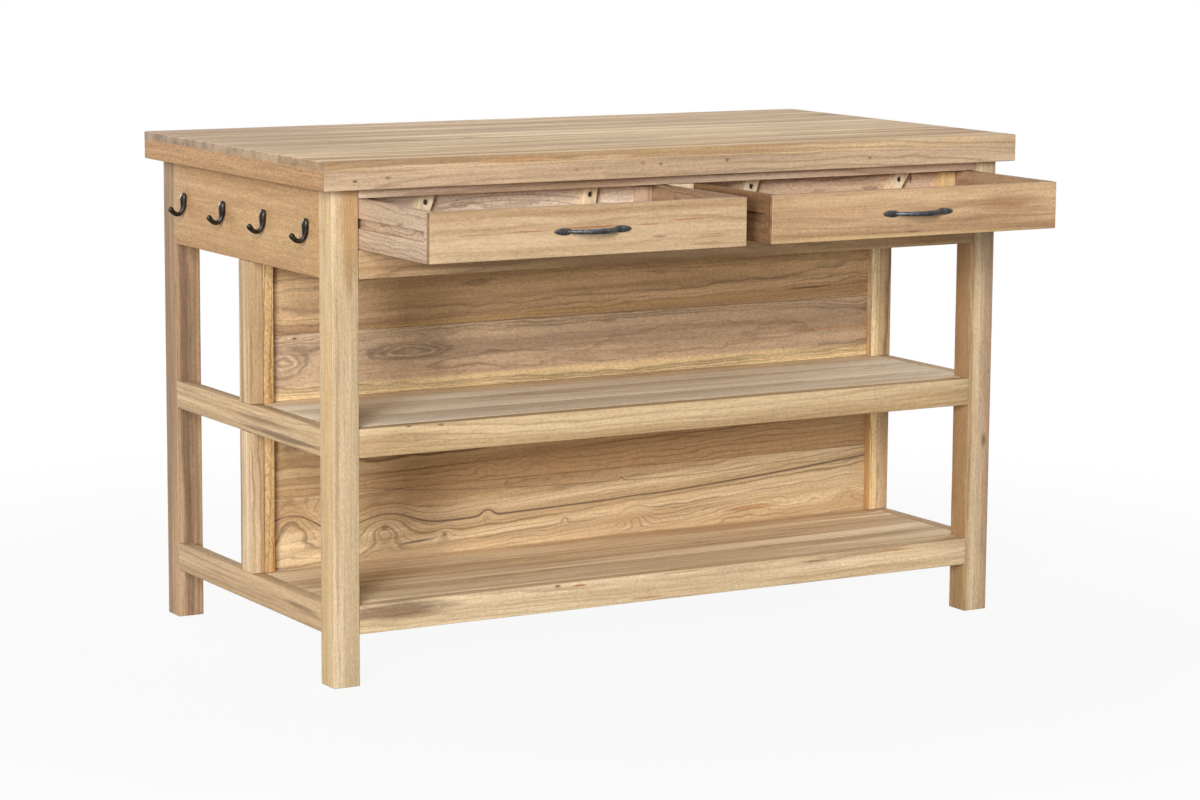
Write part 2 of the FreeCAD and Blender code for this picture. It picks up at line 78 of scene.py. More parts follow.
STRIP_X = drawn("top_edge_right")[0][0]
STRIP_Y = drawn("top_edge_rear")[1][0]
(_, PANEL_X), (_, PANEL_Y), (PANEL_LOW, PANEL_JOINT) = drawn("panel_lower")
SIDES = {"left": -1, "right": 1}
ROWS = {"front": -1, "rear": 1}

# Sizes that the frame's boxes don't show: joints between planks, the shelves' notches round the legs, the
# cleats' inner faces, how far the end strips stay back, and thicknesses inside the drawers
TOP_SEAMS = (-200, -46, 74, 226)
LOWER_PANEL_SEAMS = (267,)
UPPER_PANEL_SEAMS = (562, 706)
SHELF_SEAMS = (-228, -112)
SHELF_NOTCH_X = 633.5
SHELF_NOTCH_Y = -303.5
CLEAT_IN_X = 638.5
STRIP_SHORT = 0.4
DRAWER_LIP = 10
DRAWER_SIDE = 16
CORNER_BLOCK = 30

# Making of a board: gap to its neighbours, unevenness of the saw, spacing of its cross cuts, least angle of a
# corner, and step from one board's seed to the next
SEAM = 0.25
WAVER = 0.2
CUT_EVERY = 70
CORNER_ANGLE = math.radians(40)
SEED_STEP = 7.3


def linear(hex_colour):
    """An sRGB hex colour as linear red, green, blue and full alpha."""
    channels = [int(hex_colour[i:i + 2], 16) / 255 for i in (1, 3, 5)]
    return [c / 12.92 if c <= 0.04045 else ((c + 0.055) / 1.055) ** 2.4 for c in channels] + [1.0]


def add(tree, kind, inputs=None, out=0, **settings):
    """Adds a node, sets it up, feeds its sockets with values or links, and returns an output, if any."""
    node = tree.nodes.new("ShaderNode" + kind)
    for name, value in settings.items():
        setattr(node, name, value)
    for socket, value in (inputs or {}).items():
        if isinstance(value, bpy.types.NodeSocket):
            tree.links.new(value, node.inputs[socket])
        else:
            node.inputs[socket].default_value = value
    return node.outputs[out] if node.outputs else None


def new_material(name):
    """An empty node material."""
    material = bpy.data.materials.new(name)
    material.use_nodes = True
    material.node_tree.nodes.clear()
    return material, material.node_tree


# Turns that lay a board's grain along the pattern's own X axis
GRAIN_TURN = {"x": (0, 0, 0), "y": (0, 0, -90), "z": (0, 90, 0)}
GRAIN_AXIS = {"x": (1, 0, 0), "y": (0, 1, 0), "z": (0, 0, 1)}

# Noise in the wood: size along and across the grain, whether it follows the grain's sway, step of the seed,
# detail and roughness. Fibres and pores are drawn about three times their real width, or they would not show.
SWAY_SIZE = (420, 60, 60)
PATTERNS = {"ripple": ((60, 18, 18), False, 13, 1, 0.5), "patch": ((260, 50, 50), False, 3, 1, 0.5),
            "streak": ((600, 15, 15), True, 5, 3, 0.55), "cloud": ((750, 26, 26), True, 7, 3, 0.5),
            "fibre": ((70, 3, 3), True, 9, 2, 0.6), "pore": ((6, 2.4, 2.4), True, 11, 2, 0.7)}


def per(lengths):
    """Scale of a pattern that changes about once in each of these lengths."""
    return [1 / length for length in lengths]


def grain_patterns(tree, pos, sway, seed):
    """Places that follow the slow sway of the grain, and the noise patterns by name."""
    slow = add(tree, "VectorMath", {0: pos, 1: per(SWAY_SIZE)}, operation="MULTIPLY")
    drift = add(tree, "TexNoise", {"Vector": slow, "W": seed, "Scale": 1, "Detail": 2}, out=1,
                noise_dimensions="4D")
    shift = add(tree, "VectorMath", {0: drift, 1: (0, sway, sway), 2: (0, -sway / 2, -sway / 2)},
                operation="MULTIPLY_ADD")
    bent = add(tree, "VectorMath", {0: pos, 1: shift}, operation="ADD")
    noise = {}
    for name, (size, swayed, step, detail, rough) in PATTERNS.items():
        scaled = add(tree, "VectorMath", {0: bent if swayed else pos, 1: per(size)}, operation="MULTIPLY")
        noise[name] = add(tree, "TexNoise", {"Vector": scaled, "W": seed + step, "Scale": 1,
                                             "Detail": detail, "Roughness": rough}, noise_dimensions="4D")
    return bent, noise


def knot_lift(tree, pos, knots):
    """How far the growth rings swell round the knots."""
    lift = 0.0
    for spot, size, stretch, swell in knots:
        away = add(tree, "VectorMath", {0: pos, 1: spot}, operation="SUBTRACT")
        shrunk = add(tree, "VectorMath", {0: away, 1: per((size * stretch, size, size))},
                     operation="MULTIPLY")
        square = add(tree, "VectorMath", {0: shrunk, 1: shrunk}, out=1, operation="DOT_PRODUCT")
        minus = add(tree, "Math", {0: square, 1: -1.0}, operation="MULTIPLY")
        hump = add(tree, "Math", {0: minus}, operation="EXPONENT")
        lift = add(tree, "Math", {0: hump, 1: swell, 2: lift}, operation="MULTIPLY_ADD")
    return lift


def ring_radius(tree, bent, ripple, lift, look):
    """Distance from the tree's heart, rippled, and swelled round the knots. The rings are shells about the
    heart's line that narrow along it, so a board shows arches on its face."""
    off = add(tree, "VectorMath", {0: bent, 1: look.heart}, operation="SUBTRACT")
    cone = add(tree, "VectorMath", {0: off, 1: (look.taper, 1, 1)}, operation="MULTIPLY")
    length = add(tree, "VectorMath", {0: cone}, out=1, operation="LENGTH")
    swing = add(tree, "Math", {0: ripple, 1: 4 * look.ripple, 2: -2 * look.ripple}, operation="MULTIPLY_ADD")
    radius = add(tree, "Math", {0: length, 1: swing}, operation="ADD")
    return add(tree, "Math", {0: radius, 1: lift}, operation="ADD")


def ring_through(spot, knots, look):
    """Radius of the growth ring at one spot, without its ripple and sway."""
    radius = ((spot - Vector(look.heart)) * Vector((look.taper, 1, 1))).length
    for knot, size, stretch, swell in knots:
        apart = (spot - knot) * Vector((1 / stretch, 1, 1)) / size
        radius += swell * math.exp(-apart.length_squared)
    return radius


def growth_rings(tree, radius, patch, look, seed):
    """Broad bands of tone, and dark lines where a year's growth ends, stronger in patches."""
    years = add(tree, "Math", {0: radius, 1: 1 / look.ring}, operation="MULTIPLY")
    spread = add(tree, "Math", {0: years, 1: 0.3, 2: seed}, operation="MULTIPLY_ADD")
    broad = add(tree, "TexNoise", {"W": spread, "Scale": 1, "Detail": 1}, noise_dimensions="1D")
    uneven = add(tree, "Math", {0: broad, 1: 2.2, 2: years}, operation="MULTIPLY_ADD")
    season = add(tree, "Math", {0: uneven}, operation="FRACT")
    rise = add(tree, "MapRange", {"Value": season, "From Min": 0.58, "From Max": 0.93},
               interpolation_type="SMOOTHSTEP")
    fall = add(tree, "MapRange", {"Value": season, "From Min": 0.93, "From Max": 1.0, "To Min": 1.0,
                                  "To Max": 0.0})
    late = add(tree, "Math", {0: rise, 1: fall}, operation="MULTIPLY")
    strong = add(tree, "MapRange", {"Value": patch, "From Min": 0.36, "From Max": 0.62,
                                    "To Min": look.figure * 0.3, "To Max": look.figure})
    lines = add(tree, "Math", {0: late, 1: strong}, operation="MULTIPLY")
    return broad, lines


def mark_layer(tree, bent, fibre, spot, size, colour, strength):
    """A ragged oval mark, as a mask and its colour."""
    away = add(tree, "VectorMath", {0: bent, 1: spot}, operation="SUBTRACT")
    shrunk = add(tree, "VectorMath", {0: away, 1: per(size)}, operation="MULTIPLY")
    reach = add(tree, "VectorMath", {0: shrunk}, out=1, operation="LENGTH")
    ragged = add(tree, "Math", {0: fibre, 1: 0.8, 2: reach}, operation="MULTIPLY_ADD")
    mask = add(tree, "MapRange", {"Value": ragged, "From Min": 0.9, "From Max": 1.5, "To Min": strength,
                                  "To Max": 0.0})
    return mask, colour


def line_layer(tree, gap, half_width, colour, strength):
    """A soft line where a gap closes, as a mask and its colour."""
    apart = add(tree, "Math", {0: gap}, operation="ABSOLUTE")
    mask = add(tree, "MapRange", {"Value": apart, "From Min": half_width * 0.3, "From Max": half_width,
                                  "To Min": strength, "To Max": 0.0})
    return mask, colour


def vein_layer(tree, radius, ring, patch, half_width, colour, strength):
    """A dark growth ring, fainter in patches."""
    gap = add(tree, "Math", {0: radius, 1: ring}, operation="SUBTRACT")
    along = add(tree, "MapRange", {"Value": patch, "From Min": 0.36, "From Max": 0.54,
                                   "To Min": 0.4 * strength, "To Max": strength})
    return line_layer(tree, gap, half_width, colour, along)


def sweep_layer(tree, bent, lift, spots, half_width, colour, strength):
    """A dark line curved through three spots, which rises over the knots on its way."""
    a, b, c = spots
    first = (b.z - a.z) / (b.x - a.x)
    bend = ((c.z - b.z) / (c.x - b.x) - first) / (c.x - a.x)
    height = add(tree, "SeparateXYZ", {0: bent}, out=2)
    distance = height.node.outputs[0]
    slope = add(tree, "Math", {0: distance, 1: bend, 2: first - bend * b.x}, operation="MULTIPLY_ADD")
    run_off = add(tree, "Math", {0: distance, 1: a.x}, operation="SUBTRACT")
    line = add(tree, "Math", {0: run_off, 1: slope, 2: a.z}, operation="MULTIPLY_ADD")
    line = add(tree, "Math", {0: line, 1: lift}, operation="ADD")
    gap = add(tree, "Math", {0: height, 1: line}, operation="SUBTRACT")
    return line_layer(tree, gap, half_width, colour, strength)


def teak(name, limits, run, seed, wood):
    """Raw teak, sawn and sanded: straw and brown bands that follow the tree's growth rings, thin dark lines
    of late wood, grey-brown streaks, long fibres and a fine speckle of pores, dull all over and darker on its
    ends."""
    look = SimpleNamespace(**wood)
    material, tree = new_material(name)
    source = tree.nodes.new("ShaderNodeTexCoord")
    turn = Euler([math.radians(a) for a in GRAIN_TURN[run]]).to_matrix()
    turn = Matrix.Rotation(math.radians(look.lean), 3, "Y") @ turn
    middle = Vector([(low + high) / 2 for low, high in limits])
    pos = add(tree, "Mapping", {"Vector": source.outputs["Object"], "Scale": [1 / MM] * 3,
                                "Rotation": turn.to_euler(), "Location": -(turn @ middle)})

    def in_grain(place):
        return turn @ (Vector(place) - middle)

    # Patterns
    bent, noise = grain_patterns(tree, pos, look.sway, seed)
    knots = [(in_grain(place), *sizes) for place, *sizes in look.knots]
    lift = knot_lift(tree, pos, knots)
    radius = ring_radius(tree, bent, noise["ripple"], lift, look)
    broad, lines = growth_rings(tree, radius, noise["patch"], look, seed)
    both = add(tree, "Math", {0: broad, 1: noise["streak"]}, operation="ADD")
    tone = add(tree, "MapRange", {"Value": both, "From Min": 1 - look.bands, "From Max": 1 + look.bands})
    shaded = add(tree, "MapRange", {"Value": noise["cloud"], "From Min": 0.48, "From Max": 0.66,
                                    "To Max": look.shades})
    pores = add(tree, "MapRange", {"Value": noise["pore"], "From Min": 0.62, "From Max": 0.8,
                                   "To Max": 0.25})

    # End grain, blotched where it soaks up dirt
    facing = add(tree, "VectorMath", {0: source.outputs["Normal"], 1: GRAIN_AXIS[run]}, out=1,
                 operation="DOT_PRODUCT")
    endwise = add(tree, "Math", {0: facing}, operation="ABSOLUTE")
    ends = add(tree, "MapRange", {"Value": endwise, "From Min": 0.6, "From Max": 0.95, "To Max": 0.75})
    thirst = add(tree, "MapRange", {"Value": endwise, "From Min": 0.6, "From Max": 0.95, "To Min": 1.0,
                                    "To Max": 0.74})
    blotch = add(tree, "MapRange", {"Value": noise["cloud"], "From Min": 0.4, "From Max": 0.64,
                                    "To Max": 0.9})
    soaked = add(tree, "Mix", {0: blotch, 6: linear(look.brown), 7: linear(look.dark)}, out=2,
                 data_type="RGBA")

    # Colours laid over the pale one, each through its mask, from the broad tones to the pores
    layers = [(tone, look.brown), (shaded, look.shade)]
    layers += [mark_layer(tree, bent, noise["fibre"], in_grain(place), *rest) for place, *rest in look.marks]
    layers += [(lines, look.dark)]
    layers += [vein_layer(tree, radius, ring_through(in_grain(place), knots, look), noise["patch"], *rest)
               for place, *rest in look.veins]
    layers += [sweep_layer(tree, bent, lift, [in_grain(place) for place in places], *rest)
               for places, *rest in look.sweeps]
    layers += [(ends, soaked), (pores, look.dark)]
    colour = linear(look.pale)
    for mask, paint in layers:
        paint = linear(paint) if isinstance(paint, str) else paint
        colour = add(tree, "Mix", {0: mask, 6: colour, 7: paint}, out=2, data_type="RGBA")
    grain = add(tree, "MapRange", {"Value": noise["fibre"], "From Min": 0.3, "From Max": 0.7, "To Min": 0.89,
                                   "To Max": 1.09})
    dust = add(tree, "MapRange", {"Value": noise["pore"], "From Min": 0.3, "From Max": 0.7,
                                  "To Min": 1 + look.speckle, "To Max": 1 - look.speckle})
    light = add(tree, "Math", {0: grain, 1: dust}, operation="MULTIPLY")
    light = add(tree, "Math", {0: light, 1: thirst}, operation="MULTIPLY")
    colour = add(tree, "VectorMath", {0: colour, "Scale": light}, operation="SCALE")

    # Sanded but open-grained surface
    dull = add(tree, "MapRange", {"Value": noise["fibre"], "From Min": 0.3, "From Max": 0.7, "To Min": 0.76,
                                  "To Max": 0.6})
    relief = add(tree, "Math", {0: noise["fibre"], 1: pores}, operation="SUBTRACT")
    bump = add(tree, "Bump", {"Height": relief, "Strength": 0.35, "Distance": 0.3 * MM})
    shader = add(tree, "BsdfPrincipled", {"Base Color": colour, "Roughness": dull, "Normal": bump,
                                          "Specular IOR Level": 0.25})
    add(tree, "OutputMaterial", {"Surface": shader})
    return material


def metal(name, deep, worn, rough, grit):
    """Hand-forged iron: dark scale in the hollows, rubbed brighter in patches six times as wide as its grit,
    with a fine hammered unevenness."""
    material, tree = new_material(name)
    source = tree.nodes.new("ShaderNodeTexCoord")
    broad = add(tree, "TexNoise", {"Vector": source.outputs["Object"], "Scale": 1 / (6 * grit * MM),
                                   "Detail": 3, "Roughness": 0.6})
    fine = add(tree, "TexNoise", {"Vector": source.outputs["Object"], "Scale": 1 / (grit * MM), "Detail": 2})
    both = add(tree, "Math", {0: broad, 1: fine}, operation="ADD")
    rub = add(tree, "MapRange", {"Value": both, "From Min": 0.75, "From Max": 1.3})
    tint = add(tree, "Mix", {0: rub, 6: linear(deep), 7: linear(worn)}, out=2, data_type="RGBA")
    dull = add(tree, "MapRange", {"Value": fine, "From Min": 0.3, "From Max": 0.7, "To Min": rough - 0.1,
                                  "To Max": rough + 0.12})
    bump = add(tree, "Bump", {"Height": both, "Strength": 0.5, "Distance": 0.4 * MM})
    shader = add(tree, "BsdfPrincipled", {"Base Color": tint, "Metallic": 1.0, "Roughness": dull,
                                          "Normal": bump})
    add(tree, "OutputMaterial", {"Surface": shader})
    return material


def pick(piece, kind, test):
    """Selects, in edit mode, the vertices, edges or faces of a piece that pass a test."""
    bpy.ops.object.mode_set(mode="EDIT")
    bpy.ops.mesh.select_mode(type=kind)
    bpy.ops.mesh.select_all(action="DESELECT")
    shape = bmesh.from_edit_mesh(piece.data)
    for part in {"VERT": shape.verts, "EDGE": shape.edges, "FACE": shape.faces}[kind]:
        if test(part):
            part.select_set(True)
    shape.select_flush_mode()
    bmesh.update_edit_mesh(piece.data)


def near(value, wanted, room=1):
    """Whether a length in metres lies at a place given in millimetres."""
    return abs(value / MM - wanted) < room


def start_block(name, limits):
    """A cube at its size and place, its place in its mesh."""
    bpy.ops.object.select_all(action="DESELECT")
    bpy.ops.mesh.primitive_cube_add(size=1, location=[(low + high) / 2 * MM for low, high in limits])
    piece = bpy.context.object
    piece.name = name
    piece.scale = [(high - low) * MM for low, high in limits]
    bpy.ops.object.transform_apply(location=True, rotation=True, scale=True)
    return piece


def pushed_out(piece, level, limits, depth):
    """Pushes the part of a front or rear face between two limits in or out, for a lap or a notch."""
    for limit in limits:
        bpy.ops.object.mode_set(mode="EDIT")
        bpy.ops.mesh.select_all(action="SELECT")
        bpy.ops.mesh.bisect(plane_co=(limit * MM, 0, 0), plane_no=(1, 0, 0))

    def between(face):
        place = face.calc_center_median()
        return near(place.y, level) and limits[0] < place.x / MM < limits[1]

    pick(piece, "FACE", between)
    bpy.ops.mesh.extrude_region_move(TRANSFORM_OT_translate={"value": (0, depth * MM, 0)})
    bpy.ops.object.mode_set(mode="OBJECT")


def mitred(piece, run, level, amount):
    """Shortens a strip's inner face at both ends."""
    along = "xy".index(run)
    across = 1 - along
    for sign in (-1, 1):
        pick(piece, "VERT", lambda v: near(v.co[across], level) and v.co[along] * sign > 0)
        way = [0, 0, 0]
        way[along] = -sign * amount * MM
        bpy.ops.transform.translate(value=way)
    bpy.ops.object.mode_set(mode="OBJECT")


def saw_marks(piece, run, seed):
    """Cross cuts along the grain, moved a little, so that no edge is dead straight."""
    axis = "xyz".index(run)
    ends = [v.co[axis] for v in piece.data.vertices]
    cuts = max(2, int((max(ends) - min(ends)) / MM / CUT_EVERY))

    def along(edge):
        return abs((edge.verts[1].co - edge.verts[0].co).normalized()[axis]) > 0.99

    pick(piece, "EDGE", along)
    bpy.ops.mesh.subdivide(number_cuts=cuts)
    bpy.ops.mesh.select_all(action="SELECT")
    bpy.ops.transform.vertex_random(offset=WAVER * MM, seed=seed)


def sharp(edge, angle=CORNER_ANGLE):
    """Whether an edge is a corner."""
    return len(edge.link_faces) == 2 and edge.calc_face_angle() > angle


def eased(piece, ease, test):
    """Rounds the chosen edges of a piece in edit mode."""
    pick(piece, "EDGE", test)
    bpy.ops.mesh.bevel(offset=ease * MM, segments=3, affect="EDGES", clamp_overlap=True)


def settled(piece, body, material, node):
    """Dresses a finished piece, sets it on its body and hides the solid it stands for."""
    piece.data.materials.append(material)
    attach(piece, body)
    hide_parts(node)


def dressed(node, material):
    """Gives a solid of the frame its material."""
    for slot in nodes[node].material_slots:
        slot.material = material


# Every board and every solid left as wood takes the next number, which sets its own figure
numbers = itertools.count(1)


def board(name, limits, run, node, wood, body="island", ease=1.4, rims=None, push=None, mitre=None):
    """A sawn board with its own wood and its corners eased, or with rims only some of them."""
    number = next(numbers)
    piece = start_block(name, [(low + SEAM, high - SEAM) for low, high in limits])
    if push:
        pushed_out(piece, *push)
    if mitre:
        mitred(piece, run, *mitre)
    saw_marks(piece, run, number)
    for amount, test in rims or ((ease, sharp),):
        eased(piece, amount, test)
    bpy.ops.object.mode_set(mode="OBJECT")
    bpy.ops.object.shade_smooth_by_angle(angle=CORNER_ANGLE)
    settled(piece, body, teak(f"teak_{name}", limits, run, number * SEED_STEP, wood), node)


def wear(node, run, wood):
    """Gives a solid of the frame its own wood."""
    dressed(node, teak(f"teak_{node}", drawn(node), run, next(numbers) * SEED_STEP, wood))


# What a kind of teak has unless it says otherwise. A knot has a place, a size, a stretch along the grain and
# a swell. A vein is a dark ring through its place, and a sweep a dark line curved through three places, both
# with a half width, colour and strength. A mark has a place, half sizes along and across the grain, colour
# and strength.
TEAK = dict(taper=0.06, bands=0.2, shades=0.6, sway=14.0, ripple=1.0, speckle=0.16, lean=0.0, knots=(),
            veins=(), sweeps=(), marks=())


def sawn(pale, brown, dark, shade, ring, heart, figure, **more):
    """A kind of teak: tones of its straw, bands, lines and streaks, width of a growth ring, the heart's place
    from the board's middle with X along the grain, and the strength of the lines."""
    return dict(TEAK, pale=pale, brown=brown, dark=dark, shade=shade, ring=ring, heart=heart, figure=figure,
                **more)


def marked(wood, *marks):
    """A kind of teak with marks of its own."""
    return dict(wood, marks=marks)


# Kinds of teak, read off the photograph
TOP_FRONT = sawn("#e0c4a0", "#b5956f", "#8f6d4b", "#a08266", 6, (-300, 40, -90), 0.6, bands=0.12, shades=0.85)
TOP_STRAW = sawn("#e9d2af", "#caac88", "#957a5c", "#b1977b", 7, (200, -30, -70), 0.6, bands=0.12, shades=0.85)
TOP_GREY = sawn("#e0c7a5", "#bea185", "#8a7058", "#a58b72", 6, (-100, 60, -80), 0.6, bands=0.12, shades=0.85)
STRIP = sawn("#d0b494", "#ab8f74", "#7d6249", "#977b62", 6, (0, 60, -40), 0.4)
STRIP_HONEY = sawn("#c59c71", "#a57e55", "#8a6642", "#9f7850", 7, (0, 60, -40), 0.35, bands=0.3, shades=0.3,
                   speckle=0.3)
LEG_PALE = sawn("#dfcaa8", "#c9af8a", "#9b7d58", "#b89b72", 8, (0, 60, 70), 0.3)
LEG_BROWN = sawn("#c8a888", "#a38363", "#6a523d", "#866c54", 9, (0, -40, 60), 0.5)
HONEY = sawn("#caa578", "#b38b5f", "#956f4a", "#a98056", 9, (0, -70, 20), 0.25, bands=0.35, shades=0.3,
             speckle=0.26)
RAIL = sawn("#d7bc93", "#c1a277", "#907152", "#ac8d66", 7, (0, 50, 40), 0.45)
RAIL_PALE = dict(RAIL, pale="#e5cca5", brown="#d0b38a")
RAIL_WARM = sawn("#cfad85", "#ae8b64", "#78583a", "#8d6c4c", 7, (0, 60, -30), 0.4)
# The thin front top rail: a paler copy of the warm rail wood, painted light making up for the worktop's shade
# over it
RAIL_THIN_PAINTED_LIGHT = dict(RAIL_WARM, pale="#ecd2b6", brown="#cbae94")
SIDE_RAIL = sawn("#d9bd94", "#b59570", "#7f6449", "#a4866a", 8, (60, 40, 40), 0.5)
POST = sawn("#e8cca8", "#b2926b", "#76572f", "#a27f57", 8, (0, 60, 30), 0.7)
POST_PALE = dict(POST, pale="#e6caa4", brown="#c5a47c", shade="#b39068")
CLEAT = sawn("#e4c492", "#b78d56", "#7e4f24", "#a5743b", 5, (0, 60, 30), 0.9, bands=0.12, speckle=0.4)
# The right cleats: a paler copy of the cleat wood, painted light making up for the drawers' shade over them
CLEAT_PAINTED_LIGHT = dict(CLEAT, pale="#fff0cc", brown="#f6d9a8", shade="#eac78e", dark="#a87a48", speckle=0.2)
PANEL_SHADE = sawn("#dab78c", "#b9966f", "#664f3c", "#a07f5f", 7, (0, 70, 0), 0.5, lean=1.0, ripple=2.0,
                   speckle=0.22)
PANEL_GREY = dict(PANEL_SHADE, pale="#d8ba99", brown="#b7997c", shade="#9d866f", figure=0.45, lean=0.2,
                  sway=7.0)
PANEL_FIGURED = sawn("#e6cca4", "#c9aa81", "#644c36", "#b89872", 8, (-100, 15, 88), 0.45, taper=0.04,
                     lean=3.0, ripple=3.0)
# The lower panel's upper plank: browner wood, darkened all over with painted shade from the shelf above
PANEL_FIGURED_BROWN_PAINTED_SHADE = dict(PANEL_FIGURED, pale="#c8a980", brown="#a9875f", dark="#5c432d", shade="#93714b",
                         heart=(100, 60, 20), lean=1.5)
SHELF_LOW = sawn("#f8e4c2", "#dcc099", "#9a7a58", "#c0a07c", 8, (0, 30, -50), 0.4, shades=0.8)
# The mid shelf: a paler copy of the low shelf's wood, painted light making up for the drawers' shade over it
SHELF_MID_PAINTED_LIGHT = dict(SHELF_LOW, pale="#fff3de", brown="#fae6c6", shade="#e8cda6", dark="#ae8e6a")
DRAWER_FACE = sawn("#d1b48f", "#b3926e", "#8b6545", "#a7845d", 9, (0, 80, -20), 0.35)
DRAWER_FACE_DIM = sawn("#d5b38b", "#b8926d", "#84613f", "#967150", 9, (0, 80, 30), 0.35)
DRAWER_BOX = sawn("#d1b89d", "#ae9177", "#7c6048", "#a0826b", 6, (0, 60, 20), 0.55, bands=0.3, shades=0.4,
                  sway=24.0, ripple=3.0, speckle=0.24)
DRAWER_SIDE_BROWN = dict(DRAWER_BOX, pale="#a98a6f", brown="#8b6e50", dark="#644a35", shade="#7b6048")
# The right drawer's left side, between the drawers: dark brown wood, darkened further with painted shade from
# the left drawer
DRAWER_SIDE_DARK_PAINTED_SHADE = dict(DRAWER_BOX, pale="#937050", brown="#7a5839", dark="#553c27", shade="#654932")
DRAWER_BACK_LEFT = dict(DRAWER_BOX, pale="#ead6c0", brown="#c6ab91", shade="#b1967f")
DRAWER_BACK_RIGHT = dict(DRAWER_BOX, pale="#e8ccae", brown="#d0b093", shade="#bc9c80")
BUTTON = sawn("#f4e1c3", "#e1c9a1", "#b99a70", "#d9be95", 6, (0, 40, 30), 0.25)
BLOCK_LEFT = dict(POST, pale="#d7b99f", brown="#bd9e85", shade="#b0917a")
BLOCK_RIGHT = dict(BUTTON, pale="#e6c590", brown="#d6b078")


def beside(sign, inner, outer):
    """Limits of a piece on one side of the island's middle, the lower one first."""
    return tuple(sorted((sign * inner, sign * outer)))


def planks(low, seams, high):
    """Limits of neighbouring planks, from one end to the other."""
    return itertools.pairwise((low, *seams, high))


def on_top(edge):
    """Whether an edge is a corner at the level of the worktop's upper face."""
    return sharp(edge) and all(near(v.co.z, TOP_Z) for v in edge.verts)


def outer_rim(edge):
    """Whether an edge of the upper face runs along the outside of the worktop."""
    beyond_x = all(abs(v.co.x) / MM > TOP_X - 1 for v in edge.verts)
    beyond_y = all(abs(v.co.y) / MM > TOP_Y - 1 for v in edge.verts)
    return on_top(edge) and (beyond_x or beyond_y)


def underneath(edge):
    """Whether an edge is a corner at the lower face of the worktop's strips."""
    return sharp(edge) and all(near(v.co.z, LEG_TOP) for v in edge.verts)


def worktop():
    """Five planks over four mitred strips."""
    face = -TOP_Y
    front = marked(TOP_FRONT, ((-345, face, 891), (80, 12, 7), "#bd8a5a", 0.55),
                   ((-250, face, 893), (30, 8, 3), "#8f6a48", 0.6),
                   ((250, face, 896), (350, 30, 8), "#cdab7c", 0.4),
                   ((480, face, 893), (330, 30, 16), "#dcc09a", 0.75))
    dim_end = ((-640, 100, TOP_Z), (330, 420, 30), "#ae9377", 0.55)
    straw, grey = marked(TOP_STRAW, dim_end), marked(TOP_GREY, dim_end)
    woods = (front, straw, straw, grey, grey)
    for i, (y, wood) in enumerate(zip(planks(-TOP_Y, TOP_SEAMS, TOP_Y), woods), 1):
        board(f"worktop_plank_{i}", ((-TOP_X, TOP_X), y, (PLANK_LOW - SEAM, TOP_Z)), "x",
              f"top_plank_{i}", wood, rims=((2.0, outer_rim), (0.7, on_top)))

    knots = [((x, face, z), (5, 9, 3.2), "#6b4e36", strength) for x, z, strength in
             ((-652, 865, 0.85), (-591, 869, 0.55), (-227, 869, 0.4), (-95, 876, 0.45), (-59, 873, 0.6),
              (78, 875, 0.75), (383, 869, 0.6))]
    glue_line = ((0, face, 884.5), (900, 30, 1.4), "#dcc092", 0.8)
    pale_end = ((480, face, 866), (360, 30, 40), "#d6ba9a", 0.7)
    strips = {"front": marked(STRIP, pale_end, *knots, glue_line), "rear": STRIP}
    z = (LEG_TOP, PLANK_LOW + SEAM)
    rims = ((1.6, underneath),)
    for side, sign in ROWS.items():
        board(f"worktop_strip_{side}", ((-TOP_X, TOP_X), beside(sign, STRIP_Y, TOP_Y), z), "x",
              f"top_edge_{side}", strips[side], rims=rims, mitre=(sign * STRIP_Y, TOP_X - STRIP_X))
    short = TOP_Y - STRIP_SHORT
    for side, sign in SIDES.items():
        board(f"worktop_strip_{side}", (beside(sign, STRIP_X, TOP_X), (-short, short), z), "y",
              f"top_edge_{side}", STRIP_HONEY, rims=rims, mitre=(sign * STRIP_X, TOP_Y - STRIP_Y))


def legs():
    """Four legs."""
    face, end = -LEG_Y, -LEG_X
    woods = {"front_left": marked(LEG_PALE, ((-654, face, 723), (60, 12, 9), "#a9875f", 0.7),
                                  ((-660, face, 800), (75, 9, 1.8), "#a8703f", 0.7),
                                  # Tan area at the top of the front face: tan wood with painted shade
                                  ((-644, face, 810), (110, 12, 24), "#b58f62", 0.75),
                                  ((end, -329, 790), (110, 5, 60), "#d0a468", 0.7),
                                  ((end, -325, 420), (500, 5, 9), "#d3aa70", 0.7),
                                  ((end - 6, -329, 425), (900, 40, 9), "#cfaa72", 0.7),
                                  ((-675, face, 370), (430, 7, 4.5), "#a98a62", 0.6)),
             "front_right": marked(LEG_PALE, ((692, face, 425), (900, 90, 40), "#b08e73", 0.8),
                                   ((LEG_IN_X, -330, 425), (900, 40, 9), "#9c7850", 0.9),
                                   ((669, face, 325), (14, 9, 6), "#7c5c3e", 0.8)),
             "rear_left": marked(LEG_BROWN, ((-664, LEG_IN_Y, 425), (520, 14, 12), "#6b5440", 0.75),
                                 ((-638, LEG_IN_Y, 425), (520, 20, 4), "#bb9a76", 0.7)),
             "rear_right": LEG_BROWN}
    for side, x_sign in SIDES.items():
        for row, y_sign in ROWS.items():
            limits = (beside(x_sign, LEG_IN_X, LEG_X), beside(y_sign, LEG_IN_Y, LEG_Y), (FLOOR, LEG_TOP))
            board(f"leg_{row}_{side}_timber", limits, "z", f"leg_{row}_{side}",
                  woods[f"{row}_{side}"], ease=1.6)


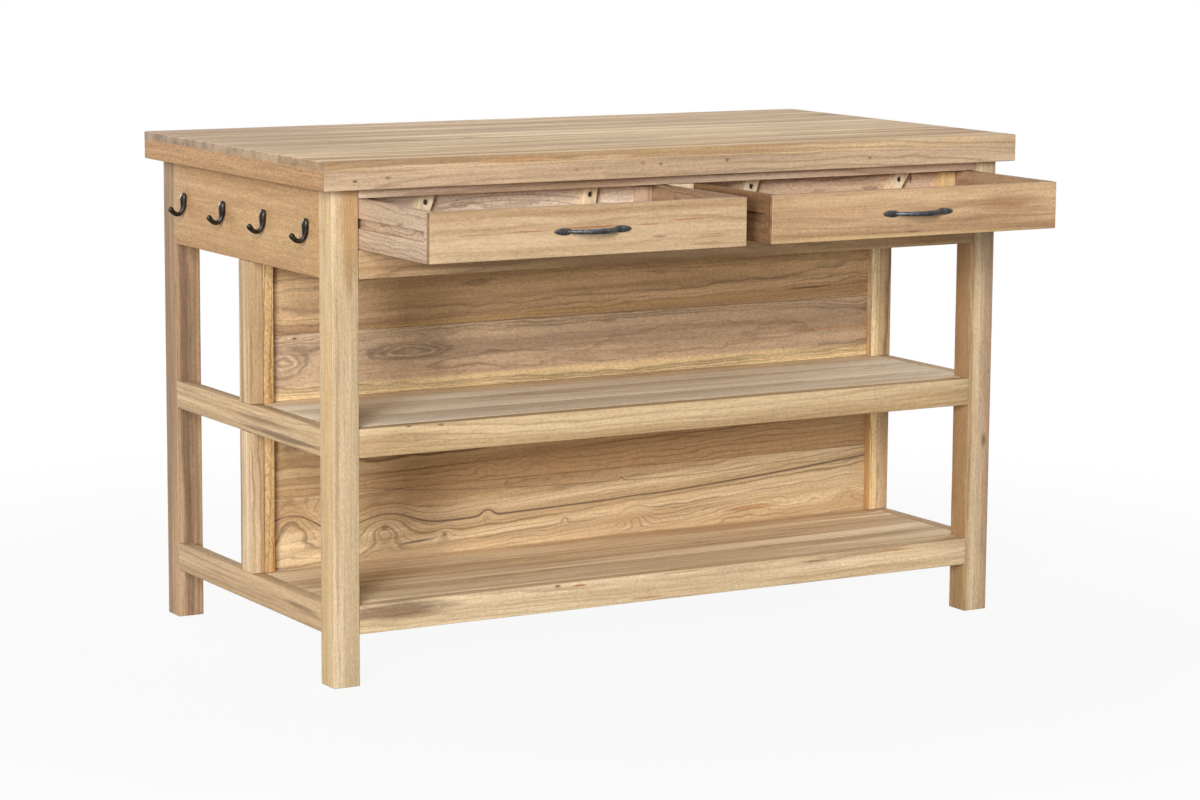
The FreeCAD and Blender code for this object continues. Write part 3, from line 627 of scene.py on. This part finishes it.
def end_timber():
    """Apron, rails and posts of the left end and the right end."""
    face = -LEG_X
    aprons = {"left": marked(HONEY, ((face, 243, 799), (14, 20, 9), "#a4794d", 0.5),
                             ((face, 160, 784), (60, 20, 3), "#a0764a", 0.5),
                             ((face, -120, 760), (160, 30, 22), "#d4b181", 0.5)), "right": HONEY}
    rails = {"mid_left": marked(SIDE_RAIL, ((face, -160, 406), (190, 20, 7), "#745d47", 0.8),
                                ((face, -80, 424), (110, 20, 7), "#8a6f54", 0.6)),
             "low_left": marked(SIDE_RAIL, ((face, -230, 118), (75, 20, 6), "#80664c", 0.65)),
             "mid_right": SIDE_RAIL, "low_right": SIDE_RAIL}
    posts = {"left": POST, "right": POST_PALE}
    y = (-LEG_IN_Y, LEG_IN_Y)
    for side, sign in SIDES.items():
        x = beside(sign, BOARD_X, LEG_X)
        board(f"apron_{side}_board", (x, y, (APRON_LOW, LEG_TOP)), "y", f"apron_{side}",
              aprons[side])
        for level, z in RAILS.items():
            board(f"side_rail_{level}_{side}_board", (x, y, z), "y",
                  f"side_rail_{level}_{side}", rails[f"{level}_{side}"])
        for level, z in POSTS.items():
            board(f"post_{level}_{side}", (x, (-POST_Y, POST_Y), z), "z", "posts", posts[side])


def long_timber():
    """Shelf rails, rear apron, and the rails and muntin round the drawers."""
    face = -LEG_Y
    rails = {"low": marked(RAIL_PALE, ((-570, face, 126), (130, 20, 17), "#8a6f56", 0.9),
                           ((-204, face, 132), (16, 8, 2.2), "#a8673a", 0.8),
                           ((-248, face, 134), (7, 8, 3), "#6a4a30", 0.8),
                           ((-64, face, 97), (40, 8, 1.6), "#b07a48", 0.7),
                           ((8, face, 137), (50, 8, 1.4), "#a97c4e", 0.7),
                           ((293, face, 131), (35, 8, 2.2), "#7d5a3a", 0.7),
                           ((474, face, 135), (40, 8, 2.0), "#b07a48", 0.8)),
             "mid": marked(RAIL, ((-540, face, 442), (6, 8, 2.6), "#6a4a30", 0.7),
                           ((-479, face, 440), (6, 8, 2.6), "#6a4a30", 0.7),
                           ((-580, face, 420), (130, 20, 18), "#b3936b", 0.6))}
    x, front = (-LEG_IN_X, LEG_IN_X), (-LEG_Y, -BOARD_Y)
    for level, z in RAILS.items():
        board(f"shelf_rail_{level}_board", (x, front, z), "x", f"shelf_rail_{level}",
              rails[level])
    board("apron_rear_board", (x, (BOARD_Y, LEG_Y), (APRON_LOW, LEG_TOP)), "x", "apron_rear",
          HONEY)
    board("front_lower_rail_board", (x, front, (APRON_LOW, LOWER_RAIL_TOP)), "x",
          "front_lower_rail", RAIL_WARM)
    # The front top rail's wood carries painted light
    board("front_top_rail_board", (x, front, (TOP_RAIL_LOW, LEG_TOP)), "x", "front_top_rail",
          RAIL_THIN_PAINTED_LIGHT, ease=0.9)
    board("muntin_board", (drawn("drawer_muntin")[0], front, (LOWER_RAIL_TOP, TOP_RAIL_LOW)), "z",
          "drawer_muntin", BUTTON)


def lower_panel_woods():
    """Two figured planks: the lower one full of eyes with dark lines round them and a band of painted shade
    along its top, the upper one browner wood darkened with painted shade, lighter along its lower edge where
    the painted shade fades.
    """
    face = -PANEL_Y
    eyes = (((-412, face, 196), 34, 1.5, 44), ((-290, face, 175), 11, 1.5, 13),
            ((-201, face, 208), 12, 1.2, 12), ((118, face, 172), 21, 1.3, 26), ((-37, face, 182), 8, 1.2, 9),
            ((85, face, 252), 8, 1.3, 8), ((600, face, 176), 20, 1.4, 20), ((520, face, 180), 12, 1.6, 11),
            ((370, face, 162), 22, 3.0, 14), ((-600, face, 215), 42, 1.3, 44))
    stains = (((-412, face, 198), (9, 9, 6), "#8a7355", 0.7),
              ((-290, face, 175), (6, 9, 5), "#7d6245", 0.6),
              ((-347, face, 166), (40, 20, 2.4), "#4f5356", 0.75),
              ((380, face, 165), (70, 20, 5), "#b5824f", 0.6),
              ((-606, face, 258), (60, 20, 10), "#8a7050", 0.5),
              # Painted shade: a brown band along the plank's top, where the shelf's shadow begins
              ((0, face, 274), (1600, 20, 40), "#b58f64", 0.6))
    rings = (((-440, face, 168), 1.8, "#6d5845", 0.6), ((-365, face, 196), 1.6, "#765e46", 0.6))
    lines = ((((-272, face, 200), (20, face, 207), (645, face, 247)), 3.0, "#5f4a40", 0.8),
             (((-272, face, 257), (79, face, 243), (604, face, 259)), 1.6, "#6b5542", 0.45))
    dim_eyes = (((-98, face, 300), 18, 2.0, 12), ((-210, face, 290), 12, 1.5, 8))
    dim_lines = (((-300, face, 300), (230, 20, 1.6), "#5f4633", 0.7),
                 ((250, face, 322), (320, 20, 1.8), "#6a4f3a", 0.6),
                 ((480, face, 375), (140, 20, 3), "#5f5a58", 0.5),
                 # Lighter along the plank's lower edge, where its painted shade fades out
                 ((0, face, 258), (1600, 20, 52), "#c9a57a", 0.75))
    dim_rings = (((-50, face, 330), 2.0, "#6a4c33", 0.7),)
    return (dict(PANEL_FIGURED, knots=eyes, marks=stains, veins=rings, sweeps=lines),
            dict(PANEL_FIGURED_BROWN_PAINTED_SHADE, knots=dim_eyes, marks=dim_lines, veins=dim_rings))


def upper_panel_woods():
    """Three plainer planks: a grey one with flames and a pale lower edge, and two in the worktop's shade, the
    middle one with painted shade darkening its top.
    """
    face = -PANEL_Y
    flames = (((-350, face, 515), 17, 6.0, 17), ((-610, face, 508), 20, 2.6, 12),
              ((-60, face, 516), 26, 6.0, 10))
    rings = (((-350, face, 522), 1.1, "#5f4e3e", 0.5), ((-350, face, 528), 1.1, "#655242", 0.45),
             ((-350, face, 534), 1.0, "#6a5746", 0.4), ((-610, face, 524), 1.2, "#6a5847", 0.4))
    pale_edge = (((0, face, 448), (1600, 20, 15), "#f2d6a4", 1.0),
                 ((0, face, 460), (1600, 20, 11), "#ecd09e", 0.9),
                 ((-370, face, 517), (110, 20, 5), "#96836c", 0.35),
                 ((-590, face, 553), (5, 9, 3), "#57402e", 0.8),
                 ((560, face, 503), (110, 20, 1.0), "#cf8850", 0.8))
    shaded = marked(PANEL_SHADE, ((-100, face, 569), (800, 20, 7), "#c6a270", 0.7),
                    # Painted shade: darker bands along the middle plank's top, where the drawers' shadow
                    # falls
                    ((0, face, 708), (1600, 20, 50), "#94734f", 0.4),
                    ((330, face, 708), (620, 20, 66), "#86653f", 0.75),
                    ((505, face, 584), (60, 20, 2), "#5f4630", 0.7),
                    ((594, face, 571), (14, 20, 2), "#c07a48", 0.7))
    return dict(PANEL_GREY, knots=flames, marks=pale_edge, veins=rings), shaded, PANEL_SHADE


def panel():
    """Planks of the middle panel, and the cleats that hold them."""
    x, y = (-PANEL_X, PANEL_X), (-PANEL_Y, PANEL_Y)
    rows = {"lower": (planks(PANEL_LOW, LOWER_PANEL_SEAMS, PANEL_JOINT), lower_panel_woods()),
            "upper": (planks(PANEL_JOINT, UPPER_PANEL_SEAMS, LEG_TOP), upper_panel_woods())}
    for row, (heights, woods) in rows.items():
        for i, (z, wood) in enumerate(zip(heights, woods), 1):
            board(f"panel_{row}_plank_{i}", (x, y, z), "x", f"panel_{row}", wood, ease=0.6)
    # Painted shade on the right cleats' faces that look towards the left, darker than their fronts
    painted_shade_side = ((CLEAT_IN_X, -15.5, 420), (900, 60, 2.6), "#b88e5b", 0.95)
    cleats = {"left": CLEAT, "right": marked(CLEAT_PAINTED_LIGHT, painted_shade_side)}
    for side, sign in SIDES.items():
        for level, z in POSTS.items():
            limits = (beside(sign, CLEAT_IN_X, BOARD_X), (-POST_Y, -PANEL_Y), z)
            board(f"cleat_{level}_{side}", limits, "z", "panel_cleats", cleats[side], ease=1.0)


def shelves():
    """Three planks to a shelf. The first is notched round the legs and meets the shelf rail between them."""
    lap = (SHELF_NOTCH_Y, (-SHELF_NOTCH_X, SHELF_NOTCH_X), -BOARD_Y - SHELF_NOTCH_Y + SEAM)
    # The mid shelf's wood carries painted light
    for level, wood in (("low", SHELF_LOW), ("mid", SHELF_MID_PAINTED_LIGHT)):
        node = f"shelf_planks_{level}"
        x, _, z = drawn(node)
        for i, y in enumerate(planks(SHELF_NOTCH_Y, SHELF_SEAMS, -PANEL_Y), 1):
            board(f"shelf_{level}_plank_{i}", (x, y, z), "x", node, wood, ease=0.7,
                  push=lap if i == 1 else None)


def drawers():
    """Fronts, backs and corner blocks. The grooved sides, bottoms and turn buttons keep their own solids."""
    face = {side: drawn(f"drawer_{side}_front")[1][0] for side in SIDES}
    back = {side: drawn(f"drawer_{side}_back")[1] for side in SIDES}
    cracks = [((x, face["left"], z), (long, 30, half), "#a3632f", strength) for x, z, long, half, strength in
              ((-540, 793, 60, 1.1, 0.6), (-452, 795, 48, 1.4, 0.65), (-330, 798, 66, 1.8, 0.75),
               (-222, 797, 22, 1.2, 0.6), (-143, 801, 46, 1.6, 0.75), (-92, 774, 28, 1.2, 0.6))]
    fronts = {"left": marked(DRAWER_FACE, *cracks, ((-200, face["left"], 775), (15, 8, 2.6), "#8d7257", 0.7),
                             ((-95, face["left"], 770), (35, 8, 1.0), "#8a5f3c", 0.7),
                             ((-100, face["left"], 757), (40, 8, 4), "#b28a60", 0.6)),
              "right": marked(DRAWER_FACE_DIM, ((250, face["right"], 752), (330, 8, 6), "#d6b583", 0.7),
                              ((520, face["right"], 800), (90, 8, 22), "#a37a55", 0.6),
                              ((322, face["right"], 760), (24, 30, 2.2), "#7f6a58", 0.8))}
    inner = {side: back[side][0] for side in SIDES}
    arches = [([(x, inner["left"], z) for x, z in spots], 1.5, "#86705f", strength) for spots, strength in
              ((((-500, 806), (-310, 827), (-150, 808)), 0.55),
               (((-455, 804), (-310, 818), (-190, 804)), 0.5))]
    backs = {"left": dict(DRAWER_BACK_LEFT, sweeps=arches),
             "right": marked(DRAWER_BACK_RIGHT, ((330, inner["right"], 833), (420, 20, 13), "#a8876f", 0.95),
                             ((527, inner["right"], 816), (3, 8, 9), "#5f4a3c", 0.8))}
    blocks = {"left": BLOCK_LEFT, "right": BLOCK_RIGHT}
    # The right drawer's left side takes dark wood with painted shade
    left_sides = {"left": DRAWER_BOX, "right": DRAWER_SIDE_DARK_PAINTED_SHADE}
    for side in SIDES:
        body = f"drawer_{side}"
        x, y, z = drawn(f"{body}_front")
        inside = (x[0] + DRAWER_SIDE, x[1] - DRAWER_SIDE)
        lip = y[0] + DRAWER_LIP
        board(f"{body}_front_board", (x, (y[0], lip), z), "x", f"{body}_front",
              fronts[side], body, push=(lip, inside, y[1] - lip))
        board(f"{body}_back_board", (inside, back[side], z), "x", f"{body}_back",
              backs[side], body)
        _, block_y, block_z = drawn(f"{body}_corner_blocks")
        for hand, block_x in (("left", (inside[0], inside[0] + CORNER_BLOCK)),
                              ("right", (inside[1] - CORNER_BLOCK, inside[1]))):
            board(f"{body}_corner_block_{hand}", (block_x, block_y, block_z), "z",
                  f"{body}_corner_blocks", blocks[side], body)
        wear(f"{body}_side_left", "y", left_sides[side])
        wear(f"{body}_side_right", "y", DRAWER_SIDE_BROWN)
        wear(f"{body}_bottom", "x", DRAWER_BOX)
        for hand in SIDES:
            wear(f"{body}_stop_{hand}", "z", BUTTON)


def hidden_timber():
    """Runners, bearers and the batten keep their own solids."""
    runs = {"top_batten": "y", "centre_bearer": "y", "shelf_bearers": "x", "drawer_runners": "y"}
    for node, run in runs.items():
        wear(node, run, RAIL_WARM)


# Sides of the ring that a bar is drawn out from, and how much wider it starts where rounding takes some off
RING_SIDES = 8
RING_SWELL = 1.18


def drawn_rod(name, stations, axis, swell):
    """A bar drawn out along a path by extruding a ring. A station is a point, a half size along the axis that
    the path swings about, and a half size across it. The swell makes up for what rounding takes off."""
    bpy.ops.object.select_all(action="DESELECT")
    points = [Vector(s[0]) * MM for s in stations]
    last = len(points) - 1
    ways = [(points[min(i + 1, last)] - points[max(i - 1, 0)]).normalized() for i in range(len(points))]
    spin = Vector(GRAIN_AXIS[axis])
    turn = Matrix((spin.cross(ways[0]), spin, ways[0])).transposed()
    flats = Matrix.Rotation(math.pi / RING_SIDES, 3, "Z")
    bpy.ops.mesh.primitive_circle_add(vertices=RING_SIDES, radius=MM, fill_type="NGON", location=points[0],
                                      rotation=(turn @ flats).to_euler())
    piece = bpy.context.object
    piece.name = name
    bpy.ops.object.transform_apply(location=True, rotation=True, scale=True)
    bpy.ops.object.mode_set(mode="EDIT")
    bpy.ops.mesh.select_mode(type="FACE")
    bpy.ops.mesh.select_all(action="SELECT")
    along, across = 1.0, 1.0
    for i, (_, half_along, half_across) in enumerate(stations):
        if i > 0:
            bpy.ops.mesh.extrude_region_move(TRANSFORM_OT_translate={"value": points[i] - points[i - 1]})
            swing = math.atan2(spin.dot(ways[i - 1].cross(ways[i])), ways[i - 1].dot(ways[i]))
            bpy.ops.transform.rotate(value=-swing, orient_axis=axis.upper(), center_override=points[i])
        scale = [half_across * swell / across] * 3
        scale["xyz".index(axis)] = half_along * swell / along
        bpy.ops.transform.resize(value=scale, center_override=points[i])
        along, across = half_along * swell, half_across * swell
    bpy.ops.mesh.select_all(action="SELECT")
    bpy.ops.mesh.normals_make_consistent(inside=False)
    bpy.ops.object.mode_set(mode="OBJECT")
    return piece


def rounded(piece, levels):
    """Smooths a coarse form by subdivision."""
    bpy.context.view_layer.objects.active = piece
    smooth = piece.modifiers.new("rounding", "SUBSURF")
    smooth.levels = levels
    smooth.render_levels = levels
    bpy.ops.object.modifier_apply(modifier=smooth.name)
    bpy.ops.object.shade_smooth()


def copied(piece, name, shift):
    """A copy of a piece with its own mesh, moved, its place in its mesh."""
    bpy.ops.object.select_all(action="DESELECT")
    piece.select_set(True)
    bpy.context.view_layer.objects.active = piece
    bpy.ops.object.duplicate(linked=False)
    copy = bpy.context.object
    copy.name = name
    bpy.ops.transform.translate(value=Vector(shift) * MM)
    bpy.ops.object.transform_apply(location=True, rotation=True, scale=True)
    return copy


# Forged hook, from the top of its stem to its tip: reach from the apron, height, half width, half thickness
HOOK_STATIONS = ((2.6, 795.6, 3.4, 2.0), (3.4, 793.6, 6.9, 3.8), (4.4, 787.0, 8.4, 5.4),
                 (4.3, 778.0, 7.5, 5.1), (4.4, 769.6, 5.9, 4.7), (6.6, 763.6, 4.5, 4.4),
                 (10.4, 758.5, 4.1, 4.1), (15.6, 756.4, 3.9, 3.9), (21.2, 758.1, 3.9, 3.9),
                 (26.2, 762.5, 4.3, 4.3), (29.0, 766.4, 4.8, 4.8), (30.6, 768.9, 4.3, 4.3),
                 (31.8, 770.8, 2.2, 2.2))
HOOK_FIRST = -260.5
HOOK_STEP = 171
HOOKS = 4


def coat_hooks():
    """Forged hooks, drawn once and copied along the apron, with their screws."""
    iron = metal("blackened_forged_iron", "#2a2422", "#57504b", 0.42, 2.2)
    stations = [((-LEG_X - out, HOOK_FIRST, height), wide, thick)
                for out, height, wide, thick in HOOK_STATIONS]
    hooks = [drawn_rod("coat_hook_1", stations, "y", RING_SWELL)]
    rounded(hooks[0], 2)
    hooks += [copied(hooks[0], f"coat_hook_{i + 1}", (0, i * HOOK_STEP, 0)) for i in range(1, HOOKS)]
    for i, hook in enumerate(hooks, 1):
        settled(hook, "island", iron, f"hook_{i}")
    dressed("hook_screws", iron)


def drawer_screws():
    """Screws of the pulls and turn buttons, which keep their own solids."""
    dark = metal("dark_steel_screws", "#3a3836", "#6c6863", 0.5, 1.6)
    for side in SIDES:
        dressed(f"drawer_{side}_screws", dark)


# Bow pull: half length, rise and reach of the bow's arc, steps to each side, place of its thickest part, and
# its half height and half thickness as the size at the ends and what the thickest part adds
BOW_HALF = 48.0
BOW_RISE = 20.8
BOW_REACH = 23.0
BOW_STEPS = 5
BOW_PEAK = 0.3
BOW_HIGH = (2.9, 2.2)
BOW_THICK = (2.3, 1.5)

# Leaf plate: its neck, its outline as reach from the pull's middle and half height, its thickness, and the
# crown inside its rim
NECK_REACH = 44.0
NECK_HALF = 3.6
LEAF_OUTLINE = ((46.5, 5.0), (50, 5.6), (54, 5.8), (58.5, 5.6), (63, 5.0), (67, 4.1), (70.5, 2.8), (73, 1.2))
LEAF_THICK = 3.0
LEAF_RIM = 1.3
LEAF_CROWN = 0.6


def pull_place(side):
    """Middle of a drawer's face."""
    x, y, z = drawn(f"drawer_{side}_front")
    return Vector((sum(x) / 2, y[0], sum(z) / 2))


def pull_leaf(middle):
    """The right-hand leaf plate: its outline drawn out from a narrow neck, thickened, crowned and eased."""
    x, y, z = middle
    bpy.ops.object.select_all(action="DESELECT")
    bpy.ops.mesh.primitive_plane_add(size=MM, location=Vector((x + NECK_REACH - 0.5, y, z)) * MM,
                                     rotation=(math.pi / 2, 0, 0))
    leaf = bpy.context.object
    leaf.name = "pull_leaf"
    leaf.scale = (1, 2 * NECK_HALF, 1)
    bpy.ops.object.transform_apply(location=True, rotation=True, scale=True)
    reach, half = NECK_REACH, NECK_HALF
    for next_reach, next_half in LEAF_OUTLINE:
        pick(leaf, "EDGE", lambda e: all(near(v.co.x, x + reach, 0.1) for v in e.verts))
        bpy.ops.mesh.extrude_region_move(TRANSFORM_OT_translate={"value": ((next_reach - reach) * MM, 0, 0)})
        bpy.ops.transform.resize(value=(1, 1, next_half / half),
                                 center_override=Vector((x + next_reach, y, z)) * MM)
        reach, half = next_reach, next_half
    bpy.ops.mesh.select_all(action="SELECT")
    bpy.ops.mesh.extrude_region_move(TRANSFORM_OT_translate={"value": (0, -LEAF_THICK * MM, 0)})
    bpy.ops.mesh.select_all(action="SELECT")
    bpy.ops.mesh.fill_holes(sides=0)
    bpy.ops.mesh.select_all(action="SELECT")
    bpy.ops.mesh.normals_make_consistent(inside=False)
    pick(leaf, "FACE", lambda f: f.normal.y < -0.9)
    bpy.ops.mesh.inset(thickness=LEAF_RIM * MM)
    bpy.ops.transform.translate(value=(0, -LEAF_CROWN * MM, 0))
    eased(leaf, 0.4, lambda e: sharp(e) and all(v.co.y / MM < y - 2 for v in e.verts))
    bpy.ops.object.mode_set(mode="OBJECT")
    return leaf


def bow_pulls():
    """Forged bow pulls: one bow and a leaf at each end, drawn once and copied to the other drawer."""
    pewter = metal("rubbed_forged_iron", "#3c3d40", "#737477", 0.44, 2.0)
    middle = pull_place("left")
    x, y, z = middle
    radius = (BOW_HALF ** 2 + BOW_RISE ** 2) / (2 * BOW_RISE)
    swing = math.asin(BOW_HALF / radius)
    stations = []
    for i in range(-BOW_STEPS, BOW_STEPS + 1):
        share = i / BOW_STEPS
        off_peak = share - BOW_PEAK
        full = 1 - (off_peak / (1 - math.copysign(BOW_PEAK, off_peak))) ** 2
        bow_y = y - BOW_REACH + radius * (1 - math.cos(share * swing))
        half_high, half_thick = (least + more * full for least, more in (BOW_HIGH, BOW_THICK))
        stations.append(((x + radius * math.sin(share * swing), bow_y, z), half_high, half_thick))
    bow = drawn_rod("drawer_left_bow_pull", stations, "z", 1.0)
    eased(bow, 0.5, lambda e: sharp(e, math.radians(28)))
    bpy.ops.object.mode_set(mode="OBJECT")
    right = pull_leaf(middle)
    left = copied(right, "pull_leaf_left", (0, 0, 0))
    bpy.ops.object.mode_set(mode="EDIT")
    bpy.ops.mesh.select_all(action="SELECT")
    bpy.ops.transform.resize(value=(-1, 1, 1), center_override=middle * MM)
    bpy.ops.mesh.normals_make_consistent(inside=False)
    bpy.ops.object.mode_set(mode="OBJECT")
    for piece in (left, right, bow):
        piece.select_set(True)
    bpy.context.view_layer.objects.active = bow
    bpy.ops.object.join()
    bpy.ops.object.shade_smooth_by_angle(angle=math.radians(32))
    other = copied(bow, "drawer_right_bow_pull", pull_place("right") - middle)
    for piece, side in ((bow, "left"), (other, "right")):
        settled(piece, f"drawer_{side}", pewter, f"drawer_{side}_pull")


def photo_camera():
    """Camera at the photograph's place and angle."""
    yaw, pitch, roll = (math.radians(a) for a in (CAMERA_YAW, CAMERA_PITCH, CAMERA_ROLL))
    ahead = Vector((math.sin(yaw) * math.cos(pitch), math.cos(yaw) * math.cos(pitch), -math.sin(pitch)))
    level = Vector((math.cos(yaw), -math.sin(yaw), 0))
    upward = level.cross(ahead)
    right = math.cos(roll) * level + math.sin(roll) * upward
    up = math.cos(roll) * upward - math.sin(roll) * level
    data = bpy.data.cameras.new("photo_camera")
    data.sensor_width = SENSOR_MM
    data.lens = SENSOR_MM * FOCAL_PIXELS / IMAGE_WIDE
    camera = bpy.data.objects.new("photo_camera", data)
    bpy.context.collection.objects.link(camera)
    turn = Matrix((right, up, -ahead)).transposed()
    camera.matrix_world = Matrix.Translation(CAMERA_AT) @ turn.to_4x4()
    bpy.context.scene.camera = camera


# Softboxes, in metres and watts: place, the point it is aimed at, size and power
SOFTBOXES = {"key_softbox": ((-12.0, -11.95, 3.75), (0, -0.2, 0.5), 4.0, 2160),
             "high_softbox": ((-8.0, -11.7, 6.75), (0, -0.2, 0.5), 3.25, 950),
             "top_softbox": ((0.0, 0.2, 4.2), (0, 0, 0.5), 2.6, 34),
             "right_softbox": ((5.0, 1.6, 1.9), (0.4, 0, 0.6), 2.2, 90),
             "rear_softbox": ((-1.6, 5.0, 2.0), (0, 0.2, 0.5), 2.2, 150)}


def softboxes():
    """Square lamps, each aimed at a point."""
    for name, (place, target, size, power) in SOFTBOXES.items():
        data = bpy.data.lights.new(name, "AREA")
        data.size = size
        data.energy = power
        lamp = bpy.data.objects.new(name, data)
        lamp.location = place
        lamp.rotation_euler = (Vector(target) - Vector(place)).to_track_quat("-Z", "Y").to_euler()
        bpy.context.collection.objects.link(lamp)


def white_room():
    """A world that is white to look at and in reflections, and lights the room only faintly."""
    world = bpy.data.worlds.new("white_room")
    world.use_nodes = True
    tree = world.node_tree
    tree.nodes.clear()
    path = tree.nodes.new("ShaderNodeLightPath")
    seen = add(tree, "Math", {0: path.outputs["Is Camera Ray"], 1: path.outputs["Is Glossy Ray"]},
               operation="MAXIMUM")
    seen = add(tree, "Math", {0: seen, 1: path.outputs["Is Transmission Ray"]}, operation="MAXIMUM")
    room = add(tree, "Background", {"Color": linear("#ffffff"), "Strength": 0.14})
    white = add(tree, "Background", {"Color": linear("#ffffff"), "Strength": 1.0})
    shown = add(tree, "MixShader", {0: seen, 1: room, 2: white})
    add(tree, "OutputWorld", {"Surface": shown})
    bpy.context.scene.world = world


def paper_floor():
    """A pale floor that takes soft shadows near the island and fades to white away from it."""
    bpy.ops.object.select_all(action="DESELECT")
    bpy.ops.mesh.primitive_plane_add(size=40)
    floor = bpy.context.object
    floor.name = "studio_floor"
    material, tree = new_material("white_paper_floor")
    path = tree.nodes.new("ShaderNodeLightPath")
    source = tree.nodes.new("ShaderNodeTexCoord")
    reach = add(tree, "VectorMath", {0: source.outputs["Object"]}, out=1, operation="LENGTH")
    fade = add(tree, "MapRange", {"Value": reach, "From Min": 1.0, "From Max": 2.2, "To Min": 0.92,
                                  "To Max": 1.0}, interpolation_type="SMOOTHSTEP")
    paper = add(tree, "BsdfDiffuse", {"Color": linear("#bbbab8")})
    glow = add(tree, "Emission", {"Color": linear("#ffffff"), "Strength": 1.0})
    share = add(tree, "Math", {0: path.outputs["Is Camera Ray"], 1: fade}, operation="MULTIPLY")
    mixed = add(tree, "MixShader", {0: share, 1: paper, 2: glow})
    add(tree, "OutputMaterial", {"Surface": mixed})
    floor.data.materials.append(material)


photo_camera()
worktop()
legs()
end_timber()
long_timber()
panel()
shelves()
drawers()
hidden_timber()
coat_hooks()
drawer_screws()
bow_pulls()
white_room()
softboxes()
paper_floor()
bpy.context.scene.view_settings.view_transform = "Standard"
